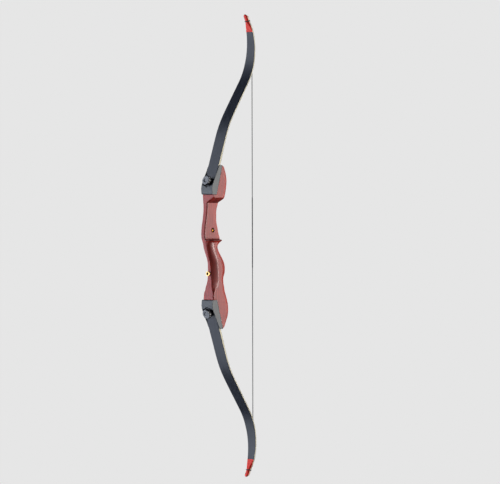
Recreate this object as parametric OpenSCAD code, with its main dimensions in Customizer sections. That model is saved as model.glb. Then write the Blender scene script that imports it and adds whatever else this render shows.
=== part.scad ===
// Take-down recurve bow: a carved wooden riser, two laminated limbs on hand knobs, and a string
// +X points to the archer, +Z up, and the sight window opens to -Y
// The origin is the middle of the stabiliser bushing's mouth

/* [Limbs] */
// Length of a limb along its front face
limb_len = 549; // [540:1:600]
// Width of a limb at its root
limb_w = 41; // [30:0.5:46]
// Thickness of a limb at its butt
butt_thick = 9; // [7:0.25:11]
// Thickness of a limb along its working middle
working_thick = 3.5; // [2.8:0.1:5]
// Thickness of each fibreglass face
glass_thick = 0.8; // [0.5:0.05:1]
// Lean of the limb roots from the riser's upright
limb_tilt = 19.1; // [15:0.1:23]
// Straight length from the butt to the working bend
straight_len = 136; // [120:1:160]
// Where the working bend is complete
bend_len = 247; // [225:1:270]
// Angle of the working bend towards the string
bend_deg = 14.4; // [10:0.2:18]
// Length of the recurve at the limb's end
recurve_len = 208; // [190:1:230]
// Angle that the recurve turns back
recurve_deg = 62.6; // [50:0.2:68]

/* [Tips] */
// Length of the red overlay on a tip
overlay_len = 54; // [45:1:70]
// Thickness of the overlay at the nock
overlay_thick = 4; // [2:0.1:5]
// Width of the head beyond the nock
head_w = 14; // [11:0.25:16]
// Distance from a limb's end to its nock
nock_back = 21; // [18:0.5:26]
// Radius of the nock grooves
nock_r = 2.6; // [2:0.1:3.2]

/* [Riser] */
// Thickness of a limb pocket's side walls
pocket_wall = 1.7; // [1:0.1:4]
// Gap between a limb and each side wall of its pocket
limb_side_gap = 0.3; // [0.2:0.05:0.6]
// Half the distance between the limb butts
butt_reach = 171.5; // [168:0.5:185]
// Height of the bow's middle above the stabiliser bushing
mid_z = 76; // [74:0.5:84]
// Height of the arrow shelf above the stabiliser bushing
shelf_z = 97.5; // [95:0.5:99]
// Sight window face, measured from the bow's middle plane
window_y = 5; // [2:0.25:9]
// Bevel along the front edge of the sight window
window_bevel = 3; // [1:0.25:5]
// Half width of the grip at the palm swell
palm_half = 14; // [12:0.25:17]

/* [Fittings] */
// Diameter of a hand knob
knob_d = 29; // [24:0.5:34]
// Height of a hand knob
knob_h = 14.6; // [12:0.1:17]
// Number of finger scallops round a knob
knob_scallops = 8; // [6:1:10]
// Diameter of a limb washer
washer_d = 23; // [16:0.5:26]
// Thickness of a limb washer
washer_h = 2.2; // [1.5:0.1:3]
// Diameter of a limb bolt
bolt_d = 8; // [6:0.5:10]
// Length of bolt below the limb's face
bolt_len = 30; // [24:0.5:34]
// Distance along the limb from its butt to the knob's edge
knob_margin = 2.3; // [1.5:0.1:8]
// Thread radius of the stabiliser and plunger bushings, as 5/16-24
bushing_thread_r = 3.97; // [3:0.01:5]
// Wall of the stabiliser bushing's barrel round its thread
bushing_wall = 1.78; // [1.2:0.02:3]
// How far the stabiliser bushing's flange stands out from its barrel
flange_rim = 1; // [0.6:0.1:2.5]
// Length of the stabiliser bushing
bushing_len = 30; // [22:0.5:36]
// Wall of the plunger bushing round its thread
plunger_wall = 1.83; // [1.2:0.01:3]
// Distance between the two sight inserts
sight_pitch = 33.3; // [28:0.1:38]
// Thread radius of a sight insert, as 10-24
sight_thread_r = 2.41; // [2:0.01:3]

/* [String] */
// Diameter of the strand bundle
string_d = 2.3; // [1.8:0.1:3]
// Added radius of a serving over the strands
serving_wall = 0.4; // [0.2:0.05:0.6]
// Height of the nocking point above the stabiliser bushing
nocking_z = 134; // [120:1:150]
// Served length above the nocking point
serving_up = 84; // [60:1:100]
// Served length below the nocking point
serving_down = 121; // [90:1:140]

/* [Hidden] */
$fn = 48;

// Colours
wood_red = "#6f2a22";
pocket_black = "#3b3f44";
glass_black = "#2b2f36";
core_cream = "#f0deb0";
tip_red = "#d8342c";
brass_gold = "#c9a24a";
string_black = "#202022";

// Clearances
running = 0.3;
thread_gap = 0.05;

// Half bow frame: x as in the whole bow, z counted from the bow's middle outwards
module upper() { translate([0, 0, mid_z]) children(); }
module lower() { translate([0, 0, mid_z]) mirror([0, 0, 1]) children(); }
// Limb frame: z runs along the limb from its butt, x from its front face to its belly
butt_x = 3.8;
module limb_frame() { translate([butt_x, 0, butt_reach]) rotate([0, limb_tilt, 0]) children(); }

// Extrusions of a profile drawn in x and z, and of an outline drawn in y and z
module along_y(width) { rotate([90, 0, 0]) linear_extrude(width, center = true) children(); }
module along_x(x0, x1) { translate([x0, 0, 0]) rotate([90, 0, 90]) linear_extrude(x1 - x0) children(); }

recurve_start = limb_len - recurve_len;

// Blend from 0 to 1 between a and b
function ramp(s, a, b) = let(t = min(1, max(0, (s - a) / (b - a)))) t * t * (3 - 2 * t);
function share(s, a, b) = min(1, max(0, (s - a) / (b - a)));

// Limb centre geometry: angle from the root's direction, place and thickness at each station
function limb_angle(s) = bend_deg * ramp(s, straight_len, bend_len)
    - recurve_deg * share(s, recurve_start, limb_len);
limb_steps = 69;
step = limb_len / limb_steps;
limb_path = [for (i = 0, x = 0, z = 0; i <= limb_steps;
    x = x + step * sin(limb_angle((i + 0.5) * step)),
    z = z + step * cos(limb_angle((i + 0.5) * step)),
    i = i + 1) [x, z]];
function limb_x(s) = lookup(s, [for (i = [0:limb_steps]) [i * step, limb_path[i][0]]]);
function limb_z(s) = lookup(s, [for (i = [0:limb_steps]) [i * step, limb_path[i][1]]]);
// A point at arc length s and depth d behind the front face
function limb_point(s, d) = let(a = limb_angle(s)) [limb_x(s) + d * cos(a), limb_z(s) - d * sin(a)];
wedge_len = 190;
tip_thick = 4;
lam_thick = working_thick - 2 * glass_thick;
function limb_thick(s) = working_thick + (butt_thick - working_thick) * pow(1 - share(s, 0, wedge_len), 1.25)
    + (tip_thick - working_thick) * ramp(s, limb_len - 2 * overlay_len, limb_len);
function wedge_thick(s) = (butt_thick - working_thick) * pow(1 - share(s, 0, wedge_len), 1.25);

// Limb half width at a distance from the tip's end
function half_width(s) = let(t = limb_len - s) t < head_w / 2
    ? sqrt(max(0.01, pow(head_w / 2, 2) - pow(head_w / 2 - t, 2)))
    : lookup(t, [[head_w / 2, head_w / 2], [nock_back - 4, head_w / 2], [nock_back + 4, head_w / 2 + 0.4],
        [38, head_w / 2 + 3.4], [overlay_len, head_w / 2 + 5.8], [80, limb_w * 0.358],
        [104, limb_w * 0.388], [150, limb_w * 0.44], [212, limb_w * 0.473], [266, limb_w * 0.492],
        [305, limb_w / 2]]);

// Stations along the limb, closer together round the tip's head
stations = concat([for (i = [0:limb_steps - 4]) i * step],
    [for (t = [26, 23, 20, 17, 14, 11, 8, 6.5, 5, 3.5, 2, 1, 0.3]) limb_len - t]);
function inner_stations(s0, s1) = [for (s = stations) if (s > s0 + 1 && s < s1 - 1) s];
function from(s0, s1) = concat([s0], inner_stations(s0, s1), [s1]);

// A lamination between two depths that are functions of s, given as lists over the stations
module lamination(s0, s1, near_depth, far_depth) {
    list = from(s0, s1);
    last = len(list) - 1;
    along_y(2 * limb_w) polygon(concat(
        [for (s = list) limb_point(s, near_depth(s))],
        [for (i = [last:-1:0]) limb_point(list[i], far_depth(list[i]))]));
}

// Outline of the limb seen from the front, with its pointed butt
butt_point_deg = 23;
function butt_rise(y) = abs(y) * tan(butt_point_deg);
limb_outline_pts = let(list = from(butt_rise(limb_w / 2), limb_len - 0.3), last = len(list) - 1) concat(
    [for (s = list) [half_width(s), limb_z(s)]],
    [for (i = [last:-1:0]) [-half_width(list[i]), limb_z(list[i])]], [[0, 0]]);
module limb_outline() { along_x(-60, 150) polygon(limb_outline_pts); }

// Side nocks and the groove across the front, square to the limb at the nock
nock_s = limb_len - nock_back;
module at_limb(s, d) {
    p = limb_point(s, d);
    translate([p[0], 0, p[1]]) rotate([0, limb_angle(s), 0]) children();
}
nock_out = 0.3;
front_nock_r = 1.8;
module nocks() {
    at_limb(nock_s, 0) {
        for (side = [-1, 1]) translate([0, side * (head_w / 2 + nock_out), 0])
            rotate([0, 90, 0]) cylinder(r = nock_r, h = 30, center = true, $fn = 24);
        translate([-overlay_thick - nock_out / 2, 0, 0]) rotate([90, 0, 0])
            cylinder(r = front_nock_r, h = limb_w, center = true, $fn = 24);
    }
}
// The bolt's hole through the limb's root
bolt_back = knob_d / 2 + knob_margin;
bolt_hole_r = bolt_d / 2 + 0.4;
module bolt_axis() { translate([0, 0, bolt_back]) rotate([0, 90, 0]) children(); }
module bolt_hole() { bolt_axis() translate([0, 0, -20]) cylinder(r = bolt_hole_r, h = 60, $fn = 32); }

module limb_layer(s0, s1, near_depth, far_depth) {
    limb_frame() difference() {
        intersection() {
            lamination(s0, s1, near_depth, far_depth);
            limb_outline();
        }
        nocks();
        bolt_hole();
    }
}
depth_front = function (s) 0;
depth_glass = function (s) glass_thick;
depth_lam = function (s) glass_thick + lam_thick + limb_thick(s) - working_thick - wedge_thick(s);
depth_wedge = function (s) limb_thick(s) - glass_thick;
depth_belly = function (s) limb_thick(s);
overlay_foot = limb_len - overlay_len;
overlay_foot_thick = 1.5;
depth_overlay = function (s) -overlay_foot_thick * share(s, overlay_foot - 1, overlay_foot + 4)
    - (overlay_thick - overlay_foot_thick) * share(s, overlay_foot + 4, nock_s - 7);

module limb_core() { color(core_cream) limb_layer(0, limb_len, depth_glass, depth_lam); }
module limb_wedge() { color(core_cream) limb_layer(0, wedge_len, depth_lam, depth_wedge); }
module front_glass() { color(glass_black) limb_layer(0, limb_len, depth_front, depth_glass); }
module belly_glass() { color(glass_black) limb_layer(0, limb_len, depth_wedge, depth_belly); }
module tip_overlay() {
    color(tip_red) limb_layer(overlay_foot, limb_len, depth_overlay, depth_front);
}

// Limb pocket: glue line to the wood, bed for the limb, side walls and notched shoulder
block_w = limb_w + 2 * (limb_side_gap + pocket_wall);
pocket_end = butt_reach - 20.5;
pocket_tip = butt_reach + 60.5;
glue_x = butt_x + 12.2;
glue_deg = limb_tilt - 3.3;
function glue_at(z) = glue_x + (z - pocket_end) * tan(glue_deg);
// Depth behind the limb's face at which the bolt's axis meets the glue line
glue_depth = (glue_x - butt_x - bolt_back * sin(limb_tilt)
    + (butt_reach + bolt_back * cos(limb_tilt) - pocket_end) * tan(glue_deg))
    / (cos(limb_tilt) + sin(limb_tilt) * tan(glue_deg));
// Points given in the limb frame, as depth behind the limb's face and distance from its butt
function in_half(d, s) = [butt_x + d * cos(limb_tilt) + s * sin(limb_tilt),
    butt_reach - d * sin(limb_tilt) + s * cos(limb_tilt)];
shoulder_proud = 6.4;
pocket_profile = [
    [glue_at(pocket_end), pocket_end],
    [2, pocket_end],
    [-0.4, pocket_end + 0.9],
    [-1.6, pocket_end + 3.2],
    [-2.2, pocket_end + 9],
    in_half(-shoulder_proud + 1.4, -6),
    in_half(-shoulder_proud + 0.2, 3),
    in_half(-shoulder_proud, 9),
    in_half(-shoulder_proud + 0.8, 18),
    in_half(-shoulder_proud + 2.2, 27),
    in_half(-shoulder_proud + 3.8, 38),
    in_half(-0.7, 48),
    in_half(0.3, 60),
    in_half(1.6, 66),
    in_half(4.6, 69.5),
    in_half(8, 70),
    in_half(11.5, 69),
    [glue_at(pocket_tip), pocket_tip]];
bed_gap = 0.05;
notch_gap = 1.6;
shoulder_slot = notch_gap / cos(butt_point_deg);
slot_top = 120;
limb_slot_pts = let(w = limb_w / 2 + limb_side_gap, foot = butt_rise(w) - shoulder_slot)
    [[w, foot], [w, slot_top], [-w, slot_top], [-w, foot], [0, -shoulder_slot]];

module limb_pocket() {
    color(pocket_black) difference() {
        along_y(block_w) polygon(pocket_profile);
        limb_frame() intersection() {
            along_x(-30, 30) polygon(limb_slot_pts);
            along_y(2 * limb_w) polygon(concat([[-30, -40], [-30, 110]],
                [for (s = [110, 80, 60, 40, 20, 0]) [limb_thick(s) + bed_gap, s]],
                [[butt_thick + bed_gap, -40]]));
        }
        limb_frame() bolt_hole();
    }
}

// Threaded insert behind the pocket, just inside the wood, with a thin head
insert_r = bolt_d / 2 + 3;
insert_len = 15;
insert_head_r = insert_r + 1.5;
insert_head_h = 1.5;
insert_sunk = 1.7;
insert_z = glue_depth + insert_sunk;
module bolt_insert() {
    color(brass_gold) limb_frame() bolt_axis() translate([0, 0, insert_z]) difference() {
        union() {
            cylinder(r = insert_r, h = insert_len);
            cylinder(r = insert_head_r, h = insert_head_h);
        }
        translate([0, 0, -1]) cylinder(r = bolt_d / 2 + thread_gap, h = insert_len + 2, $fn = 32);
    }
}

// Riser sections: z, front, ridge and back in x, front half width, widest half width,
// bend of the side before the ridge, and squareness of the back
block_half = block_w / 2;
// Heights measured outwards from the limb butts, up and down
function up(z) = mid_z + butt_reach + z;
function down(z) = mid_z - butt_reach - z;
// Heights as a share of the way from the lower butt to the shelf, and from the shelf to the upper butt
function in_grip(t) = down(0) + t * (shelf_z - down(0));
function over_shelf(t) = shelf_z + t * (up(0) - shelf_z);
riser_rows = [
    [down(65), 32, 38, 39.5, block_half, block_half, 1, 3],
    [down(62), 30, 37, 46, block_half, block_half, 1, 3],
    [down(59), 27, 36, 51.6, block_half, block_half, 1, 3.2],
    [down(51), 22, 34, 56.3, block_half, block_half, 1, 3.6],
    [down(40), 18, 32, 61.4, block_half, block_half, 1, 4],
    [down(27), 14, 32, 67.8, block_half, block_half, 1, 4],
    [down(10), 8, 30, 70.6, block_half, block_half, 1, 4],
    [down(-7), 3, 24, 69.7, block_half, block_half, 1, 4],
    [down(-19), 1.2, 6, 67.4, 17.5, block_half, 1, 4],
    [in_grip(0.163), 1.3, 7, 63.8, 15.5, block_half, 1, 3.6],
    [in_grip(0.225), 1.6, 9, 60, 13.5, block_half - 0.8, 0.9, 3.2],
    [in_grip(0.282), 2.2, 22, 58.4, 12, 18.3, 0.7, 2.8],
    [in_grip(0.345), 3.2, 30, 55.6, 8, palm_half + 1.4, 0.5, 2.5],
    [in_grip(0.4015), 4.9, 33.5, 56.2, 6.5, palm_half + 0.2, 0.5, 2.2],
    [in_grip(0.4585), 5.1, 34, 60.8, 5.5, palm_half, 0.5, 2],
    [in_grip(0.5155), 5.1, 33, 65.5, 5, palm_half, 0.5, 2],
    [in_grip(0.578), 5.0, 31, 66.4, 5, palm_half, 0.5, 2],
    [in_grip(0.64), 4.8, 29, 64.1, 5, palm_half, 0.5, 2],
    [in_grip(0.702), 3.1, 27, 57.4, 6, palm_half + 0.2, 0.5, 2.1],
    [in_grip(0.759), 0.9, 24, 49.8, 8, palm_half + 0.5, 0.5, 2.1],
    [in_grip(0.821), -1.4, 20, 41.2, 11, palm_half + 1.3, 0.5, 2.1],
    [in_grip(0.883), -2.3, 15, 36.5, 14.5, palm_half + 2.6, 0.6, 2.2],
    [shelf_z - 13, -2.8, 10, 39.5, 16, 17.4, 0.8, 2.1],
    [shelf_z - 7, -3, 9, 46, 18, 18.3, 1, 2.1],
    [shelf_z - 2, -4.2, 10, 51.5, 19, 19.4, 1, 2.1],
    [shelf_z + 4, -5.3, 14, 55.6, 20, 20.5, 1, 3],
    [over_shelf(0.097), -5.9, 20, 51.9, 20.5, block_half - 0.5, 1, 3.2],
    [over_shelf(0.23), -4.4, 20, 46.6, 20.5, block_half - 0.5, 1, 3.2],
    [over_shelf(0.383), -0.2, 20, 42, 20.5, block_half - 0.5, 1, 3.2],
    [over_shelf(0.537), 3, 20, 42.3, 20.5, block_half - 0.5, 1, 3.2],
    [over_shelf(0.61), 4, 21, 44.6, 21, block_half - 0.5, 1, 3.3],
    [over_shelf(0.683), 4.5, 23, 48.6, block_half - 0.5, block_half, 1, 3.4],
    [over_shelf(0.76), 3.9, 25, 50.8, block_half, block_half, 1, 3.8],
    [up(-25), 3.2, 27, 56.4, block_half, block_half, 1, 4],
    [up(-5), 3.2, 30, 61.7, block_half, block_half, 1, 4],
    [up(18), 8, 31, 64.7, block_half, block_half, 1, 4],
    [up(40), 14, 32, 60.6, block_half, block_half, 1, 4],
    [up(52), 18, 33, 56, block_half, block_half, 1, 3.6],
    [up(59), 24, 36, 52.6, block_half, block_half, 1, 3.2],
    [up(62), 28, 37, 46.5, block_half, block_half, 1, 3],
    [up(65), 32, 38, 39.5, block_half, block_half, 1, 3]];
// Even curve through one column of the rows, with no overshoot
function row_step(k, i) = riser_rows[i + 1][k] - riser_rows[i][k];
function slope_to(k, i) = row_step(k, i) / row_step(0, i);
last_row = len(riser_rows) - 1;
function tangent(k, i) = (i == 0 || i == last_row) ? 0
    : let(a = slope_to(k, i - 1), b = slope_to(k, i)) (a * b <= 0 ? 0 : 2 * a * b / (a + b));
function between(k, i, t) = let(h = row_step(0, i), t2 = t * t, t3 = t2 * t)
    riser_rows[i][k] * (2 * t3 - 3 * t2 + 1) + tangent(k, i) * h * (t3 - 2 * t2 + t)
    + riser_rows[i + 1][k] * (3 * t2 - 2 * t3) + tangent(k, i + 1) * h * (t3 - t2);
function row_between(i, t) = [for (k = [0:7]) k == 0
    ? riser_rows[i][0] + t * row_step(0, i) : between(k, i, t)];
ring_gap = 8;
riser_rings = concat([for (i = [0:last_row - 1])
    let(n = max(1, round(row_step(0, i) / ring_gap)))
    for (j = [0:n - 1]) row_between(i, j / n)], [riser_rows[last_row]]);
// One ring: rounded front edges, bent sides, and a back that is a squared oval
edge_r = 2.2;
side_steps = 4;
back_steps = 7;
function half_ring(r) = concat(
    [[r[1], r[4] - edge_r], [r[1] + 0.3 * edge_r, r[4] - 0.3 * edge_r], [r[1] + edge_r, r[4]]],
    [for (i = [1:side_steps]) let(u = i / side_steps)
        [r[1] + edge_r + (r[2] - r[1] - edge_r) * u, r[4] + (r[5] - r[4]) * pow(u, r[6])]],
    [for (i = [1:back_steps]) let(a = 90 * i / back_steps)
        [r[2] + (r[3] - r[2]) * pow(sin(a), 2 / r[7]), r[5] * pow(cos(a), 2 / r[7])]]);
function full_ring(r) = let(h = half_ring(r), n = len(h)) concat(
    [for (p = h) [p[0], p[1], r[0]]], [for (i = [n - 2:-1:0]) [h[i][0], -h[i][1], r[0]]]);
// A closed skin through rings of equal count, each ring turning the same way
module loft(rings, turn) {
    n = len(rings[0]);
    m = len(rings);
    points = [for (r = rings) for (p = r) p];
    quads = [for (j = [0:m - 2]) for (i = [0:n - 1]) [j * n + i, j * n + (i + 1) % n]];
    function face(a, b, c) = turn ? [a, b, c] : [c, b, a];
    polyhedron(points, concat(
        [[for (i = [0:n - 1]) turn ? n - 1 - i : i]],
        [for (q = quads) face(q[0], q[1], q[1] + n)],
        [for (q = quads) face(q[0], q[1] + n, q[0] + n)],
        [[for (i = [0:n - 1]) (m - 1) * n + (turn ? i : n - 1 - i)]]));
}
module riser_blank() { loft([for (r = riser_rings) full_ring(r)], true); }

// Sight window: flat to a cove, then a ramp up to the block's near face
window_top = over_shelf(0.69);
cove_r = 9;
ramp_deg = 20;
module window_cut() {
    cove_y = window_y - cove_r;
    cove = [for (a = [0:14:90 - ramp_deg]) [cove_y + cove_r * cos(a), window_top + cove_r * sin(a)]];
    last = cove[len(cove) - 1];
    along_x(-20, 90) polygon(concat([[-40, shelf_z], [window_y, shelf_z]], cove,
        [[-40, last[1] + (last[0] + 40) * tan(ramp_deg)]]));
}
// Bevel that follows the riser's front edge beside the window
module window_edge() {
    rings = [for (r = riser_rings) if (r[0] > shelf_z && r[0] < window_top + 10) r];
    loft([for (r = rings) [
        [r[1] - 2, window_y + window_bevel + 2, r[0]],
        [r[1] + window_bevel + 2, window_y - 2, r[0]],
        [r[1] - 2, window_y - 2, r[0]]]], true);
}
plunger_x = 27.6;
plunger_z = shelf_z + 26.9;
sight_x = 22;
sight_mid_z = over_shelf(0.4);
sight_insert_r = sight_thread_r + 1.19;
sight_insert_len = 9;
sight_floor = 1;
sight_sunk = 0.5;
// The far side of the window wall
far_y = block_half - 0.5;
plunger_d = 2 * (bushing_thread_r + plunger_wall);
plunger_sunk = 2.5;
plunger_far = 0.5;
bushing_d = 2 * (bushing_thread_r + bushing_wall);
flange_d = bushing_d + 2 * flange_rim;
flange_h = 2.2;
bushing_floor = 4;

module riser_body() {
    color(wood_red) difference() {
        riser_blank();
        upper() glue_cut();
        lower() glue_cut();
        window_cut();
        window_edge();
        // Stabiliser bushing's hole, from the front
        rotate([0, 90, 0]) cylinder(d = bushing_d, h = bushing_len, $fn = 40);
        // Plunger hole, right through the window wall
        translate([plunger_x, 0, plunger_z]) rotate([-90, 0, 0]) cylinder(d = plunger_d, h = 40, $fn = 40);
        // Sight insert holes, from the far side
        for (side = [-1, 1]) translate([sight_x, far_y - sight_sunk - sight_insert_len,
            sight_mid_z + side * sight_pitch / 2])
            rotate([-90, 0, 0]) cylinder(r = sight_insert_r, h = 2 * sight_insert_len, $fn = 32);
        // Limb bolt inserts
        upper() insert_hole();
        lower() insert_hole();
    }
}
module glue_cut() {
    along_y(2 * block_w) polygon([[-30, pocket_end], [glue_at(pocket_end), pocket_end],
        [glue_at(pocket_tip + 20), pocket_tip + 20], [-30, pocket_tip + 20]]);
}
module insert_hole() {
    limb_frame() bolt_axis() {
        cylinder(r = insert_head_r, h = insert_z + insert_head_h, $fn = 40);
        cylinder(r = insert_r, h = max(insert_z + insert_len, bolt_len + 1), $fn = 40);
    }
}

// Brass bushings and inserts
module stabiliser_bushing() {
    color(brass_gold) rotate([0, 90, 0]) difference() {
        union() {
            cylinder(d = bushing_d, h = bushing_len);
            cylinder(d = flange_d, h = flange_h);
        }
        translate([0, 0, -1]) cylinder(r = bushing_thread_r, h = bushing_len - bushing_floor + 1);
    }
}
module plunger_bushing() {
    color(brass_gold) translate([plunger_x, window_y + plunger_sunk, plunger_z]) rotate([-90, 0, 0])
        difference() {
            cylinder(d = plunger_d, h = far_y - window_y - plunger_sunk - plunger_far);
            translate([0, 0, -1]) cylinder(r = bushing_thread_r, h = block_w);
        }
}
module sight_inserts() {
    for (side = [-1, 1]) color(brass_gold)
        translate([sight_x, far_y - sight_sunk, sight_mid_z + side * sight_pitch / 2]) rotate([90, 0, 0])
        difference() {
            cylinder(r = sight_insert_r, h = sight_insert_len);
            translate([0, 0, -1]) cylinder(r = sight_thread_r, h = sight_insert_len - sight_floor + 1);
        }
}

// Hand knob with finger scallops and a dished face, its bolt and its washer
module limb_washer() {
    color("#1d1e20") limb_frame() bolt_axis() translate([0, 0, -washer_h]) difference() {
        cylinder(d = washer_d, h = washer_h);
        translate([0, 0, -1]) cylinder(r = bolt_d / 2 + running, h = washer_h + 2, $fn = 32);
    }
}
knob_r = knob_d / 2;
dish_depth = 1.2;
dish_r = knob_d * 0.2;
knob_edge = 2;
collar_h = 4.6;
collar_r = knob_r - 4.5;
scallop_r = 3.9;
scallop_bite = 1.3;
// Depth of the bolt's end below the knob's face
bolt_cover = 4;
module knob() {
    color(pocket_black) limb_frame() bolt_axis() translate([0, 0, -washer_h - knob_h]) difference() {
        rotate_extrude($fn = 64) polygon([[0, dish_depth], [dish_r, dish_depth],
            [dish_r + dish_depth, 0], [knob_r - knob_edge, 0],
            [knob_r - knob_edge / 4, knob_edge / 4], [knob_r, knob_edge],
            [knob_r, knob_h - collar_h - knob_edge], [collar_r + 1, knob_h - collar_h],
            [collar_r, knob_h], [0, knob_h]]);
        for (i = [0:knob_scallops - 1]) rotate([0, 0, (i + 0.5) * 360 / knob_scallops])
            translate([knob_r - scallop_bite + scallop_r, 0, -1])
                cylinder(r = scallop_r, h = knob_h - collar_h + 1, $fn = 32);
        translate([0, 0, bolt_cover]) cylinder(d = bolt_d, h = knob_h, $fn = 32);
    }
}
module limb_bolt() {
    color("silver") limb_frame() bolt_axis() translate([0, 0, -washer_h - knob_h + bolt_cover])
        cylinder(d = bolt_d, h = knob_h - bolt_cover + washer_h + bolt_len, $fn = 32);
}

// String: it lies on the belly of the recurve, then runs straight between the limbs
serving_r = string_d / 2 + serving_wall;
lie_gap = 0.15;
function on_belly(s) = let(p = limb_point(s, limb_thick(s) + serving_r + lie_gap))
    [butt_x + p[0] * cos(limb_tilt) + p[1] * sin(limb_tilt),
     butt_reach - p[0] * sin(limb_tilt) + p[1] * cos(limb_tilt)];
// The string leaves the belly where the limb stands upright
contact_s = recurve_start + (limb_len - recurve_start) * (bend_deg + limb_tilt) / recurve_deg;
string_x = on_belly(contact_s)[0];
contact_z = on_belly(contact_s)[1];
loop_len = 34;
loop_foot_s = nock_s - loop_len;

// A round tube along points in space, with rings square to its run
function unit(v) = v / norm(v);
function run_at(p, i) = unit(p[min(len(p) - 1, i + 1)] - p[max(0, i - 1)]);
function tube_ring(p, i, r, sides, across) =
    let(t = run_at(p, i), b = unit(cross(t, across)), a = cross(b, t))
    [for (k = [0:sides - 1]) p[i] + r * (cos(360 * k / sides) * a + sin(360 * k / sides) * b)];
module tube(p, r, sides, across) {
    loft([for (i = [0:len(p) - 1]) tube_ring(p, i, r, sides, across)], false);
}
end_steps = 10;
end_points = [for (i = [0:end_steps]) let(s = loop_foot_s + (contact_s - loop_foot_s) * i / end_steps,
    q = on_belly(s)) [q[0], 0, q[1]]];
module end_serving() { color(string_black) tube(end_points, serving_r, 10, [0, 1, 0]); }

// The loop: up the belly from its foot, out through a side nock, across the front and back
loop_r = string_d / 2;
side_floor = head_w / 2 + nock_out - nock_r;
front_floor = -overlay_thick - nock_out / 2 + front_nock_r;
loop_side_y = side_floor + running + loop_r;
loop_front_d = front_floor - running - loop_r;
loop_belly_d = limb_thick(nock_s) + loop_r + lie_gap;
// Each point is arc length past the foot, distance from the middle plane and depth
loop_arm = [
    [0.4, loop_r + 0.3, loop_belly_d],
    [loop_len * 0.24, loop_r + 1, loop_belly_d],
    [loop_len * 0.47, loop_r + 2, loop_belly_d],
    [loop_len * 0.71, loop_r + 3.1, loop_belly_d],
    [loop_len - 4, side_floor, loop_belly_d + 0.15],
    [loop_len - 1, loop_side_y - 0.8, loop_belly_d + 0.3],
    [loop_len, loop_side_y - 0.2, loop_belly_d - 0.5],
    [loop_len, loop_side_y, loop_belly_d - 1.7],
    [loop_len, loop_side_y, (loop_belly_d + loop_front_d) / 2],
    [loop_len, loop_side_y, loop_front_d + 2.2],
    [loop_len, loop_side_y - 0.15, loop_front_d + 0.9],
    [loop_len, loop_side_y - 1.1, loop_front_d],
    [loop_len, loop_side_y / 2, loop_front_d]];
function loop_at(p, side) = let(q = limb_point(loop_foot_s + p[0], p[2]))
    [butt_x + q[0] * cos(limb_tilt) + q[1] * sin(limb_tilt), side * p[1],
     butt_reach - q[0] * sin(limb_tilt) + q[1] * cos(limb_tilt)];
arm_last = len(loop_arm) - 1;
loop_points = concat(
    [for (p = loop_arm) loop_at(p, 1)],
    [loop_at([loop_len, 0, loop_front_d], 1)],
    [for (i = [arm_last:-1:0]) loop_at(loop_arm[i], -1)]);
nock_lean = limb_tilt + limb_angle(nock_s);
loop_across = [sin(nock_lean) + cos(nock_lean), 0, cos(nock_lean) - sin(nock_lean)];
module string_loop() { color(string_black) tube(loop_points, loop_r, 8, loop_across); }

// Straight halves of the string, parted at the nocking point
part_gap = 0.3;
served_run = 60;
contact_gap = 0.3;
module strands(z0, z1, served_up) {
    color(string_black) translate([string_x, 0, 0]) union() {
        translate([0, 0, z0]) cylinder(d = string_d, h = z1 - z0, $fn = 24);
        translate([0, 0, served_up ? z1 - served_run : z0])
            cylinder(r = serving_r, h = served_run, $fn = 24);
    }
}
module centre_serving(z0, z1) {
    color(string_black) translate([string_x, 0, z0]) difference() {
        cylinder(r = serving_r, h = z1 - z0, $fn = 24);
        translate([0, 0, -1]) cylinder(d = string_d, h = z1 - z0 + 2, $fn = 24);
    }
}

riser_body();
upper() limb_pocket();  // upper_limb_pocket
lower() limb_pocket();  // lower_limb_pocket
upper() bolt_insert();  // upper_bolt_insert
lower() bolt_insert();  // lower_bolt_insert
stabiliser_bushing();
plunger_bushing();
sight_inserts();
upper() limb_core();  // upper_limb_core
upper() limb_wedge();  // upper_limb_wedge
upper() front_glass();  // upper_limb_front_glass
upper() belly_glass();  // upper_limb_belly_glass
upper() tip_overlay();  // upper_tip_overlay
lower() limb_core();  // lower_limb_core
lower() limb_wedge();  // lower_limb_wedge
lower() front_glass();  // lower_limb_front_glass
lower() belly_glass();  // lower_limb_belly_glass
lower() tip_overlay();  // lower_tip_overlay
upper() knob();  // upper_knob
lower() knob();  // lower_knob
upper() limb_bolt();  // upper_limb_bolt
lower() limb_bolt();  // lower_limb_bolt
upper() limb_washer();  // upper_limb_washer
lower() limb_washer();  // lower_limb_washer
upper() end_serving();  // upper_end_serving
lower() end_serving();  // lower_end_serving
upper() string_loop();  // upper_string_loop
lower() string_loop();  // lower_string_loop
strands(nocking_z + part_gap / 2, mid_z + contact_z - contact_gap, true);  // upper_string_strands
strands(mid_z - contact_z + contact_gap, nocking_z - part_gap / 2, false);  // lower_string_strands
centre_serving(nocking_z + part_gap / 2, nocking_z + serving_up);  // upper_centre_serving
centre_serving(nocking_z - serving_down, nocking_z - part_gap / 2);  // lower_centre_serving
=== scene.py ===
import math

import bmesh
import bpy
import numpy as np
from mathutils import Matrix, Vector


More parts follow.
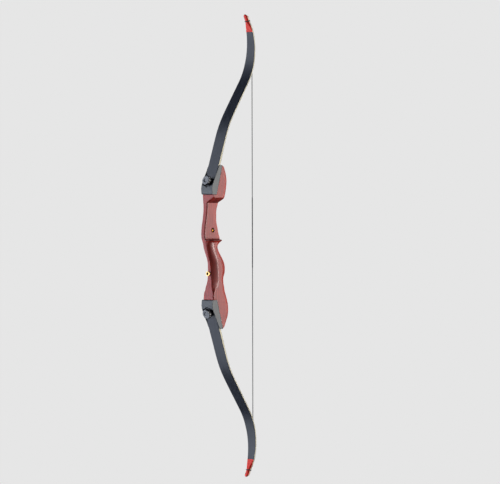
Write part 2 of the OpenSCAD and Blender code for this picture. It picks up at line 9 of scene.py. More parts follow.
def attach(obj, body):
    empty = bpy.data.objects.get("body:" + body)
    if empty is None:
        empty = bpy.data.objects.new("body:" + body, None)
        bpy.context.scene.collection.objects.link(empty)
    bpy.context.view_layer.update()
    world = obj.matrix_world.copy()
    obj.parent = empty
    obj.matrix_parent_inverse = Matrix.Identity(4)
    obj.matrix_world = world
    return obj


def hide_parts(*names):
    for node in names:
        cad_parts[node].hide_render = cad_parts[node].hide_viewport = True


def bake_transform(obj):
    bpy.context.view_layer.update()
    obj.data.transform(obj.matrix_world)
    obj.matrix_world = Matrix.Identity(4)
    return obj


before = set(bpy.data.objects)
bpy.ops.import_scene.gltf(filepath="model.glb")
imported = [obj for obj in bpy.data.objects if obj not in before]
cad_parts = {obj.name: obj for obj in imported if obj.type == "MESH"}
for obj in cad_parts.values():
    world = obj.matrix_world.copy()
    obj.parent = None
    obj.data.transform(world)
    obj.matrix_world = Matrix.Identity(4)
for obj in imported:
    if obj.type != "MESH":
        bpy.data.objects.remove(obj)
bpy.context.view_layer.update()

MM = 0.001
scene = bpy.context.scene

# Sizes in mm, as in the part's source
LIMB_LEN, LIMB_W, BUTT_THICK, WORKING_THICK, GLASS = 549.0, 41.0, 9.0, 3.5, 0.8
TILT, STRAIGHT, BEND_LEN, BEND_DEG, RECURVE_START, RECURVE_DEG = 19.1, 136.0, 247.0, 14.4, 341.0, 62.6
OVERLAY_LEN, OVERLAY_FOOT, OVERLAY_THICK, HEAD_W, TIP_THICK = 54.0, 1.5, 4.0, 14.0, 4.0
NOCK_BACK, NOCK_R, NOCK_OUT, FRONT_NOCK_R = 21.0, 2.6, 0.3, 1.8
MID_Z, BUTT_REACH, BUTT_X, WEDGE_LEN, BUTT_POINT = 76.0, 171.5, 3.8, 190.0, 23.0
POCKET_WALL, SIDE_GAP, SHELF_Z, WINDOW_Y, PALM_HALF = 1.7, 0.3, 97.5, 5.0, 14.0
KNOB_D, KNOB_H, COLLAR_H, SCALLOPS, KNOB_MARGIN, BOLT_COVER = 29.0, 14.6, 4.6, 8, 2.3, 4.0
WASHER_D, WASHER_H, BOLT_D, BOLT_LEN, BOLT_GAP, INSERT_DEPTH = 23.0, 2.2, 8.0, 30.0, 0.4, 31.0
THREAD_R, BUSHING_LEN, BUSHING_D, FLANGE_D, FLANGE_H = 3.97, 30.0, 11.5, 13.5, 2.2
PLUNGER_X, PLUNGER_Z, PLUNGER_D, PLUNGER_SUNK = 27.6, 124.4, 11.6, 2.5
SIGHT_X, SIGHT_Z, SIGHT_PITCH, SIGHT_THREAD_R, SIGHT_R, SIGHT_LEN = 22.0, 157.5, 33.3, 2.41, 3.6, 9.0
STRING_D, SERVING_WALL, NOCKING_Z, SERVING_UP, SERVING_DOWN = 2.3, 0.4, 134.0, 84.0, 121.0
PART_GAP, CONTACT_GAP, END_SERVED = 0.15, 0.3, 60.0
# Threads as (pitch, depth)
BOLT_THREAD, BUSHING_THREAD, SIGHT_THREAD = (1.25, 0.62), (1.058, 0.55), (0.8, 0.4)
BLOCK_HALF = LIMB_W / 2 + SIDE_GAP + POCKET_WALL
FAR_Y = BLOCK_HALF - 0.5
BOLT_BACK = KNOB_D / 2 + KNOB_MARGIN
NOCK_S = LIMB_LEN - NOCK_BACK
OVERLAY_S = LIMB_LEN - OVERLAY_LEN
TAU = math.radians(TILT)


def ramp(s, a, b):
    """From 0 at a to 1 at b, level at both ends."""
    t = np.clip((np.asarray(s, float) - a) / (b - a), 0, 1)
    return t * t * (3 - 2 * t)


def share(s, a, b):
    """From 0 at a to 1 at b, in a straight line."""
    return np.clip((np.asarray(s, float) - a) / (b - a), 0, 1)


def limb_angle(s):
    """The strung limb's lean towards the string at arc length s, in radians from its butt's line."""
    return np.radians(BEND_DEG * ramp(s, STRAIGHT, BEND_LEN)
                      - RECURVE_DEG * share(s, RECURVE_START, LIMB_LEN))


# The limb's front face as a path in the limb's frame
STEPS = 1098
PATH_S = np.linspace(0, LIMB_LEN, STEPS + 1)
STEP_ANGLE = limb_angle((PATH_S[1:] + PATH_S[:-1]) / 2)
STEP = LIMB_LEN / STEPS
PATH_X = np.concatenate([[0], np.cumsum(STEP * np.sin(STEP_ANGLE))])
PATH_Z = np.concatenate([[0], np.cumsum(STEP * np.cos(STEP_ANGLE))])


def in_half(lx, lz):
    """From the limb's frame to the half bow's frame."""
    return (BUTT_X + lx * math.cos(TAU) + lz * math.sin(TAU),
            BUTT_REACH - lx * math.sin(TAU) + lz * math.cos(TAU))


def limb_at(s, d):
    """Half frame x and z at arc length s and depth d behind the front face."""
    a = limb_angle(s)
    return in_half(np.interp(s, PATH_S, PATH_X) + d * np.cos(a), np.interp(s, PATH_S, PATH_Z) - d * np.sin(a))


def wedge_thick(s):
    return (BUTT_THICK - WORKING_THICK) * (1 - share(s, 0, WEDGE_LEN)) ** 1.25


def limb_thick(s):
    return (WORKING_THICK + wedge_thick(s)
            + (TIP_THICK - WORKING_THICK) * ramp(s, LIMB_LEN - 2 * OVERLAY_LEN, LIMB_LEN))


def half_width(s):
    """Half the limb's width: a pointed butt, a long taper, and a round head with a nock in each side."""
    s = np.asarray(s, float)
    t = LIMB_LEN - s
    h = HEAD_W / 2
    wide = np.interp(t, [h, NOCK_BACK - 4, NOCK_BACK + 4, 38, OVERLAY_LEN, 80, 104, 150, 212, 266, 305],
                     [h, h, h + 0.4, h + 3.4, h + 5.8, LIMB_W * 0.358, LIMB_W * 0.388, LIMB_W * 0.44,
                      LIMB_W * 0.473, LIMB_W * 0.492, LIMB_W / 2])
    head = np.sqrt(np.maximum(0.01, h * h - (h - np.minimum(t, h)) ** 2))
    wide = np.where(t < h, head, wide)
    wide = np.minimum(wide, np.maximum(0.05, s) / math.tan(math.radians(BUTT_POINT)))
    off = np.abs(s - NOCK_S)
    bite = np.sqrt(np.maximum(0, NOCK_R ** 2 - np.minimum(off, NOCK_R) ** 2))
    return np.where(off < NOCK_R, np.minimum(wide, h + NOCK_OUT - bite), wide)


# Meshes
def link(obj):
    scene.collection.objects.link(obj)
    return obj


def make(name, verts, faces, sharp=None):
    """An object from points in mm, with outward faces and smooth shading apart from sharp edges."""
    mesh = bpy.data.meshes.new(name)
    mesh.from_pydata((np.asarray(verts, float) * MM).tolist(), [], faces)
    bm = bmesh.new()
    bm.from_mesh(mesh)
    bmesh.ops.recalc_face_normals(bm, faces=bm.faces)
    bm.to_mesh(mesh)
    bm.free()
    mesh.polygons.foreach_set("use_smooth", [True] * len(mesh.polygons))
    if sharp:
        mesh.set_sharp_from_angle(angle=math.radians(sharp))
    return link(bpy.data.objects.new(name, mesh))


def skin(name, rings, sharp=None, closed=False):
    """A skin through rings of equal count: capped at its ends, or closed into a loop."""
    rings = np.asarray(rings, float)
    m, n = rings.shape[:2]
    faces = [(j * n + i, j * n + (i + 1) % n, (j + 1) % m * n + (i + 1) % n, (j + 1) % m * n + i)
             for j in range(m if closed else m - 1) for i in range(n)]
    if not closed:
        faces += [tuple(range(n)), tuple(range((m - 1) * n, m * n))]
    return make(name, rings.reshape(-1, 3), faces, sharp)


def prism(name, outline, axis, lo, hi):
    """A prism of an outline along x or y; the outline is in the two other axes, in order."""
    return skin(name, [[(h, a, b) if axis == "x" else (a, h, b) for a, b in outline] for h in (lo, hi)])


def turned(name, origin, along, profile, sides=64, sharp=30, radius=None, hollow=False):
    """A turned piece from rows of (radius, distance along); hollow closes the rows on themselves.
    radius(theta, row radius, distance) may reshape each ring."""
    along = Vector(along).normalized()
    side = Vector((0, 1, 0)) if abs(along.y) < 0.9 else Vector((1, 0, 0))
    u = along.cross(side).normalized()
    axes = np.array([list(u), list(along.cross(u)), list(along)])
    theta = np.linspace(0, 2 * math.pi, sides, endpoint=False)
    rings = []
    for r, h in profile:
        rr = np.full(sides, float(r)) if radius is None else radius(theta, r, h)
        ring = np.stack([rr * np.cos(theta), rr * np.sin(theta), np.full(sides, float(h))], 1)
        rings.append(ring @ axes + np.array(origin))
    return skin(name, rings, sharp, hollow)


def rod(origin, along, r, lo, hi):
    return turned("cut", origin, along, [(r, lo), (r, hi)], 48)


def drop(*objs):
    """Takes objects out of the scene, with their meshes."""
    for o in objs:
        data = o.data
        bpy.data.objects.remove(o)
        bpy.data.meshes.remove(data)


def carve(obj, cutters, voxel=None, smooth=0, how="DIFFERENCE"):
    """Cuts obj with the cutters; a voxel size also rounds every edge softly by a fine remesh."""
    for c in cutters:
        m = obj.modifiers.new("cut", "BOOLEAN")
        m.operation, m.solver, m.object = how, "EXACT", c
    if voxel:
        r = obj.modifiers.new("remesh", "REMESH")
        r.mode, r.voxel_size, r.use_smooth_shade = "VOXEL", voxel * MM, True
        obj.modifiers.new("smooth", "SMOOTH").iterations = smooth
    bpy.context.view_layer.update()
    mesh = bpy.data.meshes.new_from_object(obj.evaluated_get(bpy.context.evaluated_depsgraph_get()))
    old = obj.data
    mesh.name = obj.name
    obj.modifiers.clear()
    obj.data = mesh
    bpy.data.meshes.remove(old)
    drop(*cutters)
    if voxel:
        mesh.polygons.foreach_set("use_smooth", [True] * len(mesh.polygons))


def mirrored(obj, name):
    """The lower half's twin of an upper piece."""
    mesh = obj.data.copy()
    mesh.name = name
    mesh.transform(Matrix.Translation((0, 0, 2 * MID_Z * MM)) @ Matrix.Scale(-1, 4, (0, 0, 1)))
    mesh.flip_normals()
    return link(bpy.data.objects.new(name, mesh))


def joined(name, objs):
    """Several objects as one, with their materials kept."""
    bm = bmesh.new()
    slots = []
    for o in objs:
        first = len(bm.faces)
        bm.from_mesh(o.data)
        bm.faces.ensure_lookup_table()
        for f in bm.faces[first:]:
            f.material_index = len(slots)
        slots += list(o.data.materials)
    mesh = bpy.data.meshes.new(name)
    bm.to_mesh(mesh)
    bm.free()
    for m in slots:
        mesh.materials.append(m)
    drop(*objs)
    return link(bpy.data.objects.new(name, mesh))


# Materials
class Shade:
    """A material built from nodes, with short helpers."""

    def __init__(self, name, **values):
        self.mat = bpy.data.materials.new(name)
        self.mat.use_nodes = True
        self.tree = self.mat.node_tree
        self.bsdf = self.tree.nodes["Principled BSDF"]
        for k, v in values.items():
            self.bsdf.inputs[k.replace("_", " ")].default_value = v

    def wire(self, a, b):
        self.tree.links.new(a, b)

    def node(self, kind, inputs=None, **settings):
        """A new node; inputs holds numbers, colours or other nodes' outputs by socket."""
        n = self.tree.nodes.new(kind)
        for k, v in settings.items():
            setattr(n, k, v)
        for k, v in (inputs or {}).items():
            if isinstance(v, (int, float)):
                n.inputs[k].default_value = v
            elif isinstance(v, tuple):
                n.inputs[k].default_value = (*v, 1)
            elif v is not None:
                self.wire(v, n.inputs[k])
        return n

    def coords(self, scale=(1, 1, 1), source="Object"):
        m = self.node("ShaderNodeMapping", {"Vector": self.node("ShaderNodeTexCoord").outputs[source]})
        m.inputs["Scale"].default_value = scale
        return m.outputs["Vector"]

    def noise(self, vector, scale, detail=4.0, rough=0.55, distort=0.0):
        return self.node("ShaderNodeTexNoise", {"Vector": vector, "Scale": scale, "Detail": detail,
                                                "Roughness": rough, "Distortion": distort}).outputs["Fac"]

    def ramp(self, fac, stops):
        r = self.node("ShaderNodeValToRGB", {"Fac": fac})
        el = r.color_ramp.elements
        while len(el) < len(stops):
            el.new(0.5)
        for e, (p, c) in zip(el, stops):
            e.position = p
            e.color = (*c, 1)
        return r.outputs["Color"]

    def mix(self, fac, a, b, mode="MIX"):
        return self.node("ShaderNodeMix", {0: fac, 6: a, 7: b}, data_type="RGBA", blend_type=mode).outputs[2]

    def times(self, a, b):
        return self.node("ShaderNodeMath", {0: a, 1: b}, operation="MULTIPLY").outputs[0]

    def between(self, fac, lo, hi):
        return self.node("ShaderNodeMapRange", {"Value": fac, "To Min": lo, "To Max": hi}).outputs["Result"]

    def attribute(self, name):
        return self.node("ShaderNodeAttribute", attribute_name=name).outputs["Fac"]

    def edge_wear_and_highlight(self, lo, hi):
        """1 on outer edges and 0 elsewhere: the plastics lighten their edges there as wear, and the wood
        paints a highlight along its edges.
        """
        edge = self.node("ShaderNodeNewGeometry").outputs["Pointiness"]
        return self.ramp(edge, [(lo, (0, 0, 0)), (hi, (1, 1, 1))])

    def bump(self, height, strength, distance, chain=None):
        return self.node("ShaderNodeBump", {"Height": height, "Strength": strength, "Distance": distance,
                                            "Normal": chain}).outputs["Normal"]

    def finish(self, colour, rough, normal):
        for out, name in ((colour, "Base Color"), (rough, "Roughness"), (normal, "Normal")):
            self.wire(out, self.bsdf.inputs[name])
        return self.mat


def wood_material():
    """Stained hardwood under a satin lacquer, with a painted glow and painted shade from the riser's vertex
    values.
    """
    m = Shade("riser_wood_lacquered", IOR=1.3, Coat_Weight=0.34, Coat_Roughness=0.21, Coat_IOR=1.5)
    grain = m.noise(m.coords((1, 1, 0.055)), 330, 7, 0.62, 0.25)
    broad = m.noise(m.coords((1, 0.7, 0.12)), 55, 3, 0.5, 0.6)
    pores = m.noise(m.coords((1, 1, 0.03)), 1500, 3, 0.6)
    tone = m.ramp(grain, [(0.30, (0.27, 0.012, 0.006)), (0.48, (0.45, 0.027, 0.015)),
                          (0.70, (0.59, 0.047, 0.026))])
    tone = m.mix(m.between(broad, 0.0, 0.45), tone, (0.36, 0.018, 0.011))
    # Painted glow: a warmer, lighter red towards the back edges, except on the far side
    tone = m.mix(m.attribute("warm"), tone, (0.66, 0.042, 0.014))
    speck = m.ramp(pores, [(0.33, (0.45, 0.42, 0.42)), (0.42, (1, 1, 1))])
    tone = m.mix(0.5, tone, speck, "MULTIPLY")
    # Painted highlight: lighter lacquer along the wood's outer edges
    tone = m.mix(m.times(m.edge_wear_and_highlight(0.53, 0.60), 0.30), tone, (0.62, 0.16, 0.08))
    # Painted shade: near black under the window's ramp, in the shelf's corner and in the plunger hole
    tone = m.mix(m.attribute("dim"), tone, (0.012, 0.006, 0.005))
    normal = m.bump(grain, 0.10, 0.0004, m.bump(pores, 0.08, 0.0002))
    return m.finish(tone, m.between(grain, 0.42, 0.58), normal)


def scaled(base, k, more=0.0):
    return tuple(c * k + more for c in base)


def plastic_material(name, base, lo, hi, grain_scale=1400, coat=0.0):
    """Finely grained plastic or paint with cloudy tones and lighter edges."""
    m = Shade(name, IOR=1.5, Coat_Weight=coat, Coat_Roughness=0.2)
    cloud = m.noise(m.coords(), 60, 3)
    fine = m.noise(m.coords(), grain_scale, 3, 0.6)
    tone = m.ramp(cloud, [(0.3, scaled(base, 0.82)), (0.7, scaled(base, 1.2))])
    tone = m.mix(m.times(m.edge_wear_and_highlight(0.52, 0.60), 0.35), tone, scaled(base, 2.4, 0.01))
    return m.finish(tone, m.between(fine, lo, hi), m.bump(fine, 0.22, 0.00012))


def glass_material():
    """Black fibreglass under clear resin, with fibres along the limb."""
    m = Shade("limb_fibreglass", IOR=1.36, Coat_Weight=0.11, Coat_Roughness=0.28)
    fibre = m.noise(m.coords((700, 6, 1), "UV"), 1.0, 5, 0.65)
    soft = m.noise(m.coords((30, 3, 1), "UV"), 1.0, 3)
    tone = m.ramp(fibre, [(0.32, (0.008, 0.011, 0.019)), (0.55, (0.015, 0.020, 0.034)),
                          (0.75, (0.027, 0.035, 0.056))])
    tone = m.mix(m.between(soft, 0.0, 0.4), tone, (0.012, 0.017, 0.029))
    return m.finish(tone, m.between(fibre, 0.36, 0.52), m.bump(fibre, 0.10, 0.0002))


def core_material():
    """Cream laminated core, with grain and dark flecks along the limb."""
    m = Shade("limb_core_laminated", IOR=1.45, Coat_Weight=0.12, Coat_Roughness=0.2)
    grain = m.noise(m.coords((500, 9, 500), "UV"), 1.0, 6, 0.6)
    fleck = m.noise(m.coords((2600, 40, 2600), "UV"), 1.0, 2)
    tone = m.ramp(grain, [(0.28, (0.84, 0.69, 0.38)), (0.5, (0.96, 0.85, 0.54)), (0.72, (0.98, 0.90, 0.66))])
    tone = m.mix(m.between(fleck, 0.0, 0.15), tone, (0.56, 0.42, 0.24))
    return m.finish(tone, m.between(grain, 0.42, 0.58), m.bump(grain, 0.12, 0.0003))


def overlay_material():
    """Red laminate with faint fibres along the limb."""
    m = Shade("tip_overlay_red", IOR=1.5, Coat_Weight=0.05, Coat_Roughness=0.15,
              Specular_Tint=(1.0, 0.22, 0.16, 1.0))
    fibre = m.noise(m.coords((900, 12, 900), "UV"), 1.0, 4, 0.6)
    tone = m.ramp(fibre, [(0.30, (0.90, 0.026, 0.018)), (0.55, (0.97, 0.042, 0.030)),
                          (0.78, (1.0, 0.065, 0.050))])
    return m.finish(tone, m.between(fibre, 0.34, 0.46), m.bump(fibre, 0.08, 0.0002))


def metal_material(name, base, lo, hi):
    """Machined metal with tool marks, darker and duller where it is stained."""
    m = Shade(name, Metallic=1.0)
    marks = m.noise(m.coords(), 2600, 3, 0.6)
    stain = m.noise(m.coords(), 160, 4, 0.6, 0.4)
    tone = m.ramp(stain, [(0.30, scaled(base, 0.62)), (0.62, base)])
    return m.finish(tone, m.between(stain, hi, lo), m.bump(marks, 0.15, 0.00006))


def cord_material(name, base, light):
    """Waxed polyester with fibres and paler wax."""
    m = Shade(name, IOR=1.45, Sheen_Weight=0.25, Sheen_Roughness=0.5)
    fibre = m.noise(m.coords((1, 1, 0.25)), 3200, 3, 0.6)
    wax = m.noise(m.coords((1, 1, 0.5)), 420, 3)
    tone = m.ramp(fibre, [(0.32, base), (0.68, light)])
    tone = m.mix(m.between(wax, 0.0, 0.35), tone, scaled(light, 1.6))
    return m.finish(tone, m.between(wax, 0.45, 0.68), m.bump(fibre, 0.3, 0.0001))


WOOD = wood_material()
POCKET = plastic_material("pocket_moulded_black", (0.026, 0.034, 0.040), 0.40, 0.52)
KNOB = plastic_material("knob_moulded_black", (0.034, 0.037, 0.046), 0.26, 0.38, coat=0.36)
WASHER = plastic_material("washer_painted_black", (0.022, 0.022, 0.024), 0.35, 0.5, 900)
FIBREGLASS = glass_material()
CORE = core_material()
OVERLAY = overlay_material()
BRASS = metal_material("brass_machined", (0.66, 0.45, 0.17), 0.18, 0.34)
STEEL = metal_material("bolt_zinc_plated", (0.62, 0.62, 0.64), 0.24, 0.42)
STRAND = cord_material("string_waxed_black", (0.010, 0.010, 0.012), (0.026, 0.026, 0.030))
SERVED = cord_material("serving_waxed_black", (0.007, 0.007, 0.009), (0.019, 0.019, 0.023))


def place(obj, material, slot, node, body=None):
    """Gives a piece its material, hides the CAD node that it replaces and attaches it to the body it rides
    on; slot is not used.
    """
    if material:
        obj.data.materials.clear()
        obj.data.materials.append(material)
    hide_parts(node)
    if body:
        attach(obj, body)


def blend_along(obj, side, start, end):
    """Bakes a piece's placement into its mesh; it looks up two places on the limb, each (s, depth), but
    blends nothing between bodies.
    """
    for s, d in (start, end):
        x, z = limb_at(s, d)
    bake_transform(obj)


# Riser
def up(z):
    """A height counted outwards from the upper limb's butt."""
    return MID_Z + BUTT_REACH + z


def down(z):
    return MID_Z - BUTT_REACH - z


def in_grip(t):
    """A height as a share of the way from the lower butt to the shelf."""
    return down(0) + t * (SHELF_Z - down(0))


def over_shelf(t):
    """A height as a share of the way from the shelf to the upper butt."""
    return SHELF_Z + t * (up(0) - SHELF_Z)


B = BLOCK_HALF
P = PALM_HALF
# Height, front, ridge and back in x, front and widest half width, bend of the side, squareness
RISER_ROWS = np.array([
    [down(65), 32, 38, 39.5, B, B, 1, 3], [down(62), 30, 37, 46, B, B, 1, 3],
    [down(59), 27, 36, 51.6, B, B, 1, 3.2], [down(51), 22, 34, 56.3, B, B, 1, 3.6],
    [down(40), 18, 32, 61.4, B, B, 1, 4], [down(27), 14, 32, 67.8, B, B, 1, 4],
    [down(10), 8, 30, 70.6, B, B, 1, 4], [down(-7), 3, 24, 69.7, B, B, 1, 4],
    [down(-19), 1.2, 6, 67.4, 17.5, B, 1, 4], [in_grip(0.163), 1.3, 7, 63.8, 15.5, B, 1, 3.6],
    [in_grip(0.225), 1.6, 9, 60, 13.5, B - 0.8, 0.9, 3.2],
    [in_grip(0.282), 2.2, 22, 58.4, 12, 18.3, 0.7, 2.8],
    [in_grip(0.345), 3.2, 30, 55.6, 8, P + 1.4, 0.5, 2.5],
    [in_grip(0.4015), 4.9, 33.5, 56.2, 6.5, P + 0.2, 0.5, 2.2],
    [in_grip(0.4585), 5.1, 34, 60.8, 5.5, P, 0.5, 2], [in_grip(0.5155), 5.1, 33, 65.5, 5, P, 0.5, 2],
    [in_grip(0.578), 5.0, 31, 66.4, 5, P, 0.5, 2], [in_grip(0.64), 4.8, 29, 64.1, 5, P, 0.5, 2],
    [in_grip(0.702), 3.1, 27, 57.4, 6, P + 0.2, 0.5, 2.1],
    [in_grip(0.759), 0.9, 24, 49.8, 8, P + 0.5, 0.5, 2.1],
    [in_grip(0.821), -1.4, 20, 41.2, 11, P + 1.3, 0.5, 2.1],
    [in_grip(0.883), -2.3, 15, 36.5, 14.5, P + 2.6, 0.6, 2.2],
    [SHELF_Z - 13, -2.8, 10, 39.5, 16, 17.4, 0.8, 2.1], [SHELF_Z - 7, -3, 9, 46, 18, 18.3, 1, 2.1],
    [SHELF_Z - 2, -4.2, 10, 51.5, 19, 19.4, 1, 2.1], [SHELF_Z + 4, -5.3, 14, 55.6, 20, 20.5, 1, 3],
    [over_shelf(0.097), -5.9, 20, 51.9, 20.5, B - 0.5, 1, 3.2],
    [over_shelf(0.23), -4.4, 20, 46.6, 20.5, B - 0.5, 1, 3.2],
    [over_shelf(0.383), -0.2, 20, 42, 20.5, B - 0.5, 1, 3.2],
    [over_shelf(0.537), 3, 20, 42.3, 20.5, B - 0.5, 1, 3.2],
    [over_shelf(0.61), 4, 21, 44.6, 21, B - 0.5, 1, 3.3],
    [over_shelf(0.683), 4.5, 23, 48.6, B - 0.5, B, 1, 3.4], [over_shelf(0.76), 3.9, 25, 50.8, B, B, 1, 3.8],
    [up(-25), 3.2, 27, 56.4, B, B, 1, 4], [up(-5), 3.2, 30, 61.7, B, B, 1, 4],
    [up(18), 8, 31, 64.7, B, B, 1, 4], [up(40), 14, 32, 60.6, B, B, 1, 4],
    [up(52), 18, 33, 56, B, B, 1, 3.6], [up(59), 24, 36, 52.6, B, B, 1, 3.2],
    [up(62), 28, 37, 46.5, B, B, 1, 3], [up(65), 32, 38, 39.5, B, B, 1, 3]])


def row_slopes():
    """Each row's slope with height: level at the ends and where a value turns, so nothing overshoots."""
    steps = np.diff(RISER_ROWS, axis=0) / np.diff(RISER_ROWS[:, :1], axis=0)
    a, b = steps[:-1], steps[1:]
    slopes = np.zeros_like(RISER_ROWS)
    slopes[1:-1] = np.where(a * b <= 0, 0, 2 * a * b / np.where(np.abs(a + b) < 1e-12, 1, a + b))
    return slopes


ROW_SLOPES = row_slopes()


def row_at(z):
    """The riser's section values at height z."""
    zs = RISER_ROWS[:, 0]
    i = int(np.clip(np.searchsorted(zs, z) - 1, 0, len(zs) - 2))
    h = zs[i + 1] - zs[i]
    t = (z - zs[i]) / h
    out = (RISER_ROWS[i] * (2 * t ** 3 - 3 * t ** 2 + 1) + ROW_SLOPES[i] * h * (t ** 3 - 2 * t ** 2 + t)
           + RISER_ROWS[i + 1] * (3 * t ** 2 - 2 * t ** 3) + ROW_SLOPES[i + 1] * h * (t ** 3 - t ** 2))
    out[0] = z
    return out


EDGE_R = 2.2
# Near side of the grip, by height: the half width where the flat front ends, the x of the ridge behind the
# thumb's hollow, its half width, and how much of the hollow lies nearly flat beside it
NEAR = np.array([
    [-75, 19, 3.5, 22.5, 0.3], [-66, 18, 4, 22.5, 0.3], [-60, 17.7, 4.3, 22.5, 0.3],
    [-52, 16.5, 6.5, 22.4, 0.25], [-47, 15.5, 9.4, 22.4, 0.25], [-43, 14, 13.6, 22.3, 0.22],
    [-39, 12.6, 18.3, 22.2, 0.2], [-34, 11, 21.8, 22, 0.2], [-29, 9.8, 24, 21.8, 0.2],
    [-18, 7, 26.1, 21, 0.2], [-3, 5, 26.3, 20, 0.24], [16, 3, 26, 19, 0.28],
    [34, -0.5, 25.6, 17.8, 0.36], [48, -2.5, 24, 16, 0.46], [62, -4, 20, 13.8, 0.56],
    [72, -5.8, 17.8, 11.4, 0.64], [82, -7.4, 17.4, 10, 0.74], [90, -8.6, 16.4, 11, 0.74],
    [93.2, -8, 15, 14, 0.6], [94.4, -8, 13, 17, 0.5], [95.4, -8, 11, 18.4, 0.4],
    [96.2, -8, 10, 18.4, 0.35], [96.9, -8, 10, 17.2, 0.35], [97.6, -8, 10, 15, 0.35]])
# The hollow's lip: its greatest depth, its share of the way to the ridge, its slope; the slope at the ridge
LIP_MAX, LIP_SHARE, LIP_SLOPE, RIDGE_SLOPE = 4.5, 0.25, math.radians(79), math.radians(13)


def half_ring(r):
    """Points of one side, from the flat front over a rounded edge and the widest place to the back."""
    start = float(r[4])
    a = np.radians(np.linspace(0, 90, 6))
    front = np.stack([r[1] + EDGE_R - EDGE_R * np.cos(a), start - EDGE_R + EDGE_R * np.sin(a)], 1)
    u = np.linspace(0, 1, 21)[1:] ** 2
    side = np.stack([r[1] + EDGE_R + (r[2] - r[1] - EDGE_R) * u, start + (r[5] - start) * u ** r[6]], 1)
    return np.concatenate([front, side, back_of(r, 0)])


def back_of(r, squarer):
    """Points from the widest place round the back, as a quarter of an oval made squarer."""
    power = r[7] + squarer
    a = np.radians(np.linspace(0, 90, 19)[1:])
    return np.stack([r[2] + (r[3] - r[2]) * np.sin(a) ** (2 / power),
                     r[5] * np.maximum(0, np.cos(a)) ** (2 / power)], 1)


def along_slope(angle):
    return np.array([math.cos(angle), math.sin(angle)])


def hollow_ring(r, start, ridge_x, ridge_y, flat):
    """The same on the near side of the grip: a short lip, the thumb's hollow, a ridge, then the back."""
    r = r.copy()
    r[2], r[5] = ridge_x, ridge_y
    lip = min(LIP_MAX, LIP_SHARE * (ridge_y - start))
    first = np.array([r[1], start])
    at = [first, first + [0.0, 0.3 * lip]]
    at.append(at[1] + 0.7 * lip * along_slope(LIP_SLOPE))
    last = np.array([ridge_x, ridge_y])
    gap = float(np.hypot(*(last - at[2])))
    lean = math.radians(44 + 18 * float(ramp(r[0], 0, 60)))
    c1 = at[2] + 0.30 * gap * along_slope(lean)
    c2 = last - flat * gap * along_slope(RIDGE_SLOPE)
    t = np.linspace(0, 1, 24)[1:, None]
    curve = at[2] * (1 - t) ** 3 + 3 * c1 * t * (1 - t) ** 2 + 3 * c2 * t ** 2 * (1 - t) + last * t ** 3
    # The back grows squarer under the shelf and round again at it
    grow = [k * float(ramp(r[0], a, b)) for k, a, b in ((0.5, 50, 80), (2.0, 80, 91), (2.4, 92.5, 97.5))]
    return np.concatenate([at, curve, back_of(r, grow[0] + grow[1] - grow[2])])


def riser_ring(z):
    """One section: the far side first, then the near side, which the grip's thumb hollow shapes."""
    r = row_at(z)
    far = near = half_ring(r)
    if NEAR[0, 0] < z < NEAR[-1, 0]:
        near = hollow_ring(r, *(np.interp(z, NEAR[:, 0], column) for column in NEAR.T[1:]))
    full = np.concatenate([far, near[-2::-1] * [1, -1]])
    return np.column_stack([full, np.full(len(full), z)])


POCKET_END = BUTT_REACH - 20.5
POCKET_TIP = BUTT_REACH + 60.5
GLUE_X = BUTT_X + 12.2
GLUE_TAN = math.tan(math.radians(TILT - 3.3))


def glue_at(z):
    return GLUE_X + (z - POCKET_END) * GLUE_TAN


def to_world(pts, side):
    """Points of (x, z) or (x, y, z) from the half bow's frame to the bow's."""
    return [(*p[:-1], MID_Z + side * p[-1]) for p in pts]


def bolt_line(side):
    """The limb bolt's origin on the limb's face, and its direction into the riser."""
    x, z = in_half(0, BOLT_BACK)
    return (x, 0, MID_Z + side * z), (math.cos(TAU), 0, -side * math.sin(TAU))


# The window over the shelf: the rounds at its foot and its top, the ramp's slope, the round of its front
# edge, and that of the ramp with its growth
FOOT_R, COVE_R, RAMP, EDGE_ROUND, RAMP_ROUND, RAMP_GROWTH = 5.0, 2.2, math.radians(27), 3.6, 4.2, 0.06
WINDOW_TOP = over_shelf(0.69) + 1.2
OUTSIDE = 40


def butt_cutter(side):
    """Takes the wood in front of the glued face, where the pocket and the limb lie."""
    line = [(-30, POCKET_END), (glue_at(POCKET_END), POCKET_END),
            (glue_at(POCKET_TIP + 20), POCKET_TIP + 20), (-30, POCKET_TIP + 20)]
    return prism("cut", to_world(line, side), "y", -50, 50)


def window_cutter():
    """The sight window, from the shelf up the wall to the ramp under the block."""
    foot = [(WINDOW_Y - FOOT_R + FOOT_R * math.sin(a), SHELF_Z + FOOT_R - FOOT_R * math.cos(a))
            for a in np.linspace(0, math.pi / 2, 8)]
    cove = [(WINDOW_Y - COVE_R + COVE_R * math.cos(a), WINDOW_TOP + COVE_R * math.sin(a))
            for a in np.linspace(0, math.pi / 2 - RAMP, 6)]
    y, z = cove[-1]
    line = [(-OUTSIDE, SHELF_Z)] + foot + cove + [(-OUTSIDE, z + (y + OUTSIDE) * math.tan(RAMP))]
    return prism("cut", line, "x", -20, 90)


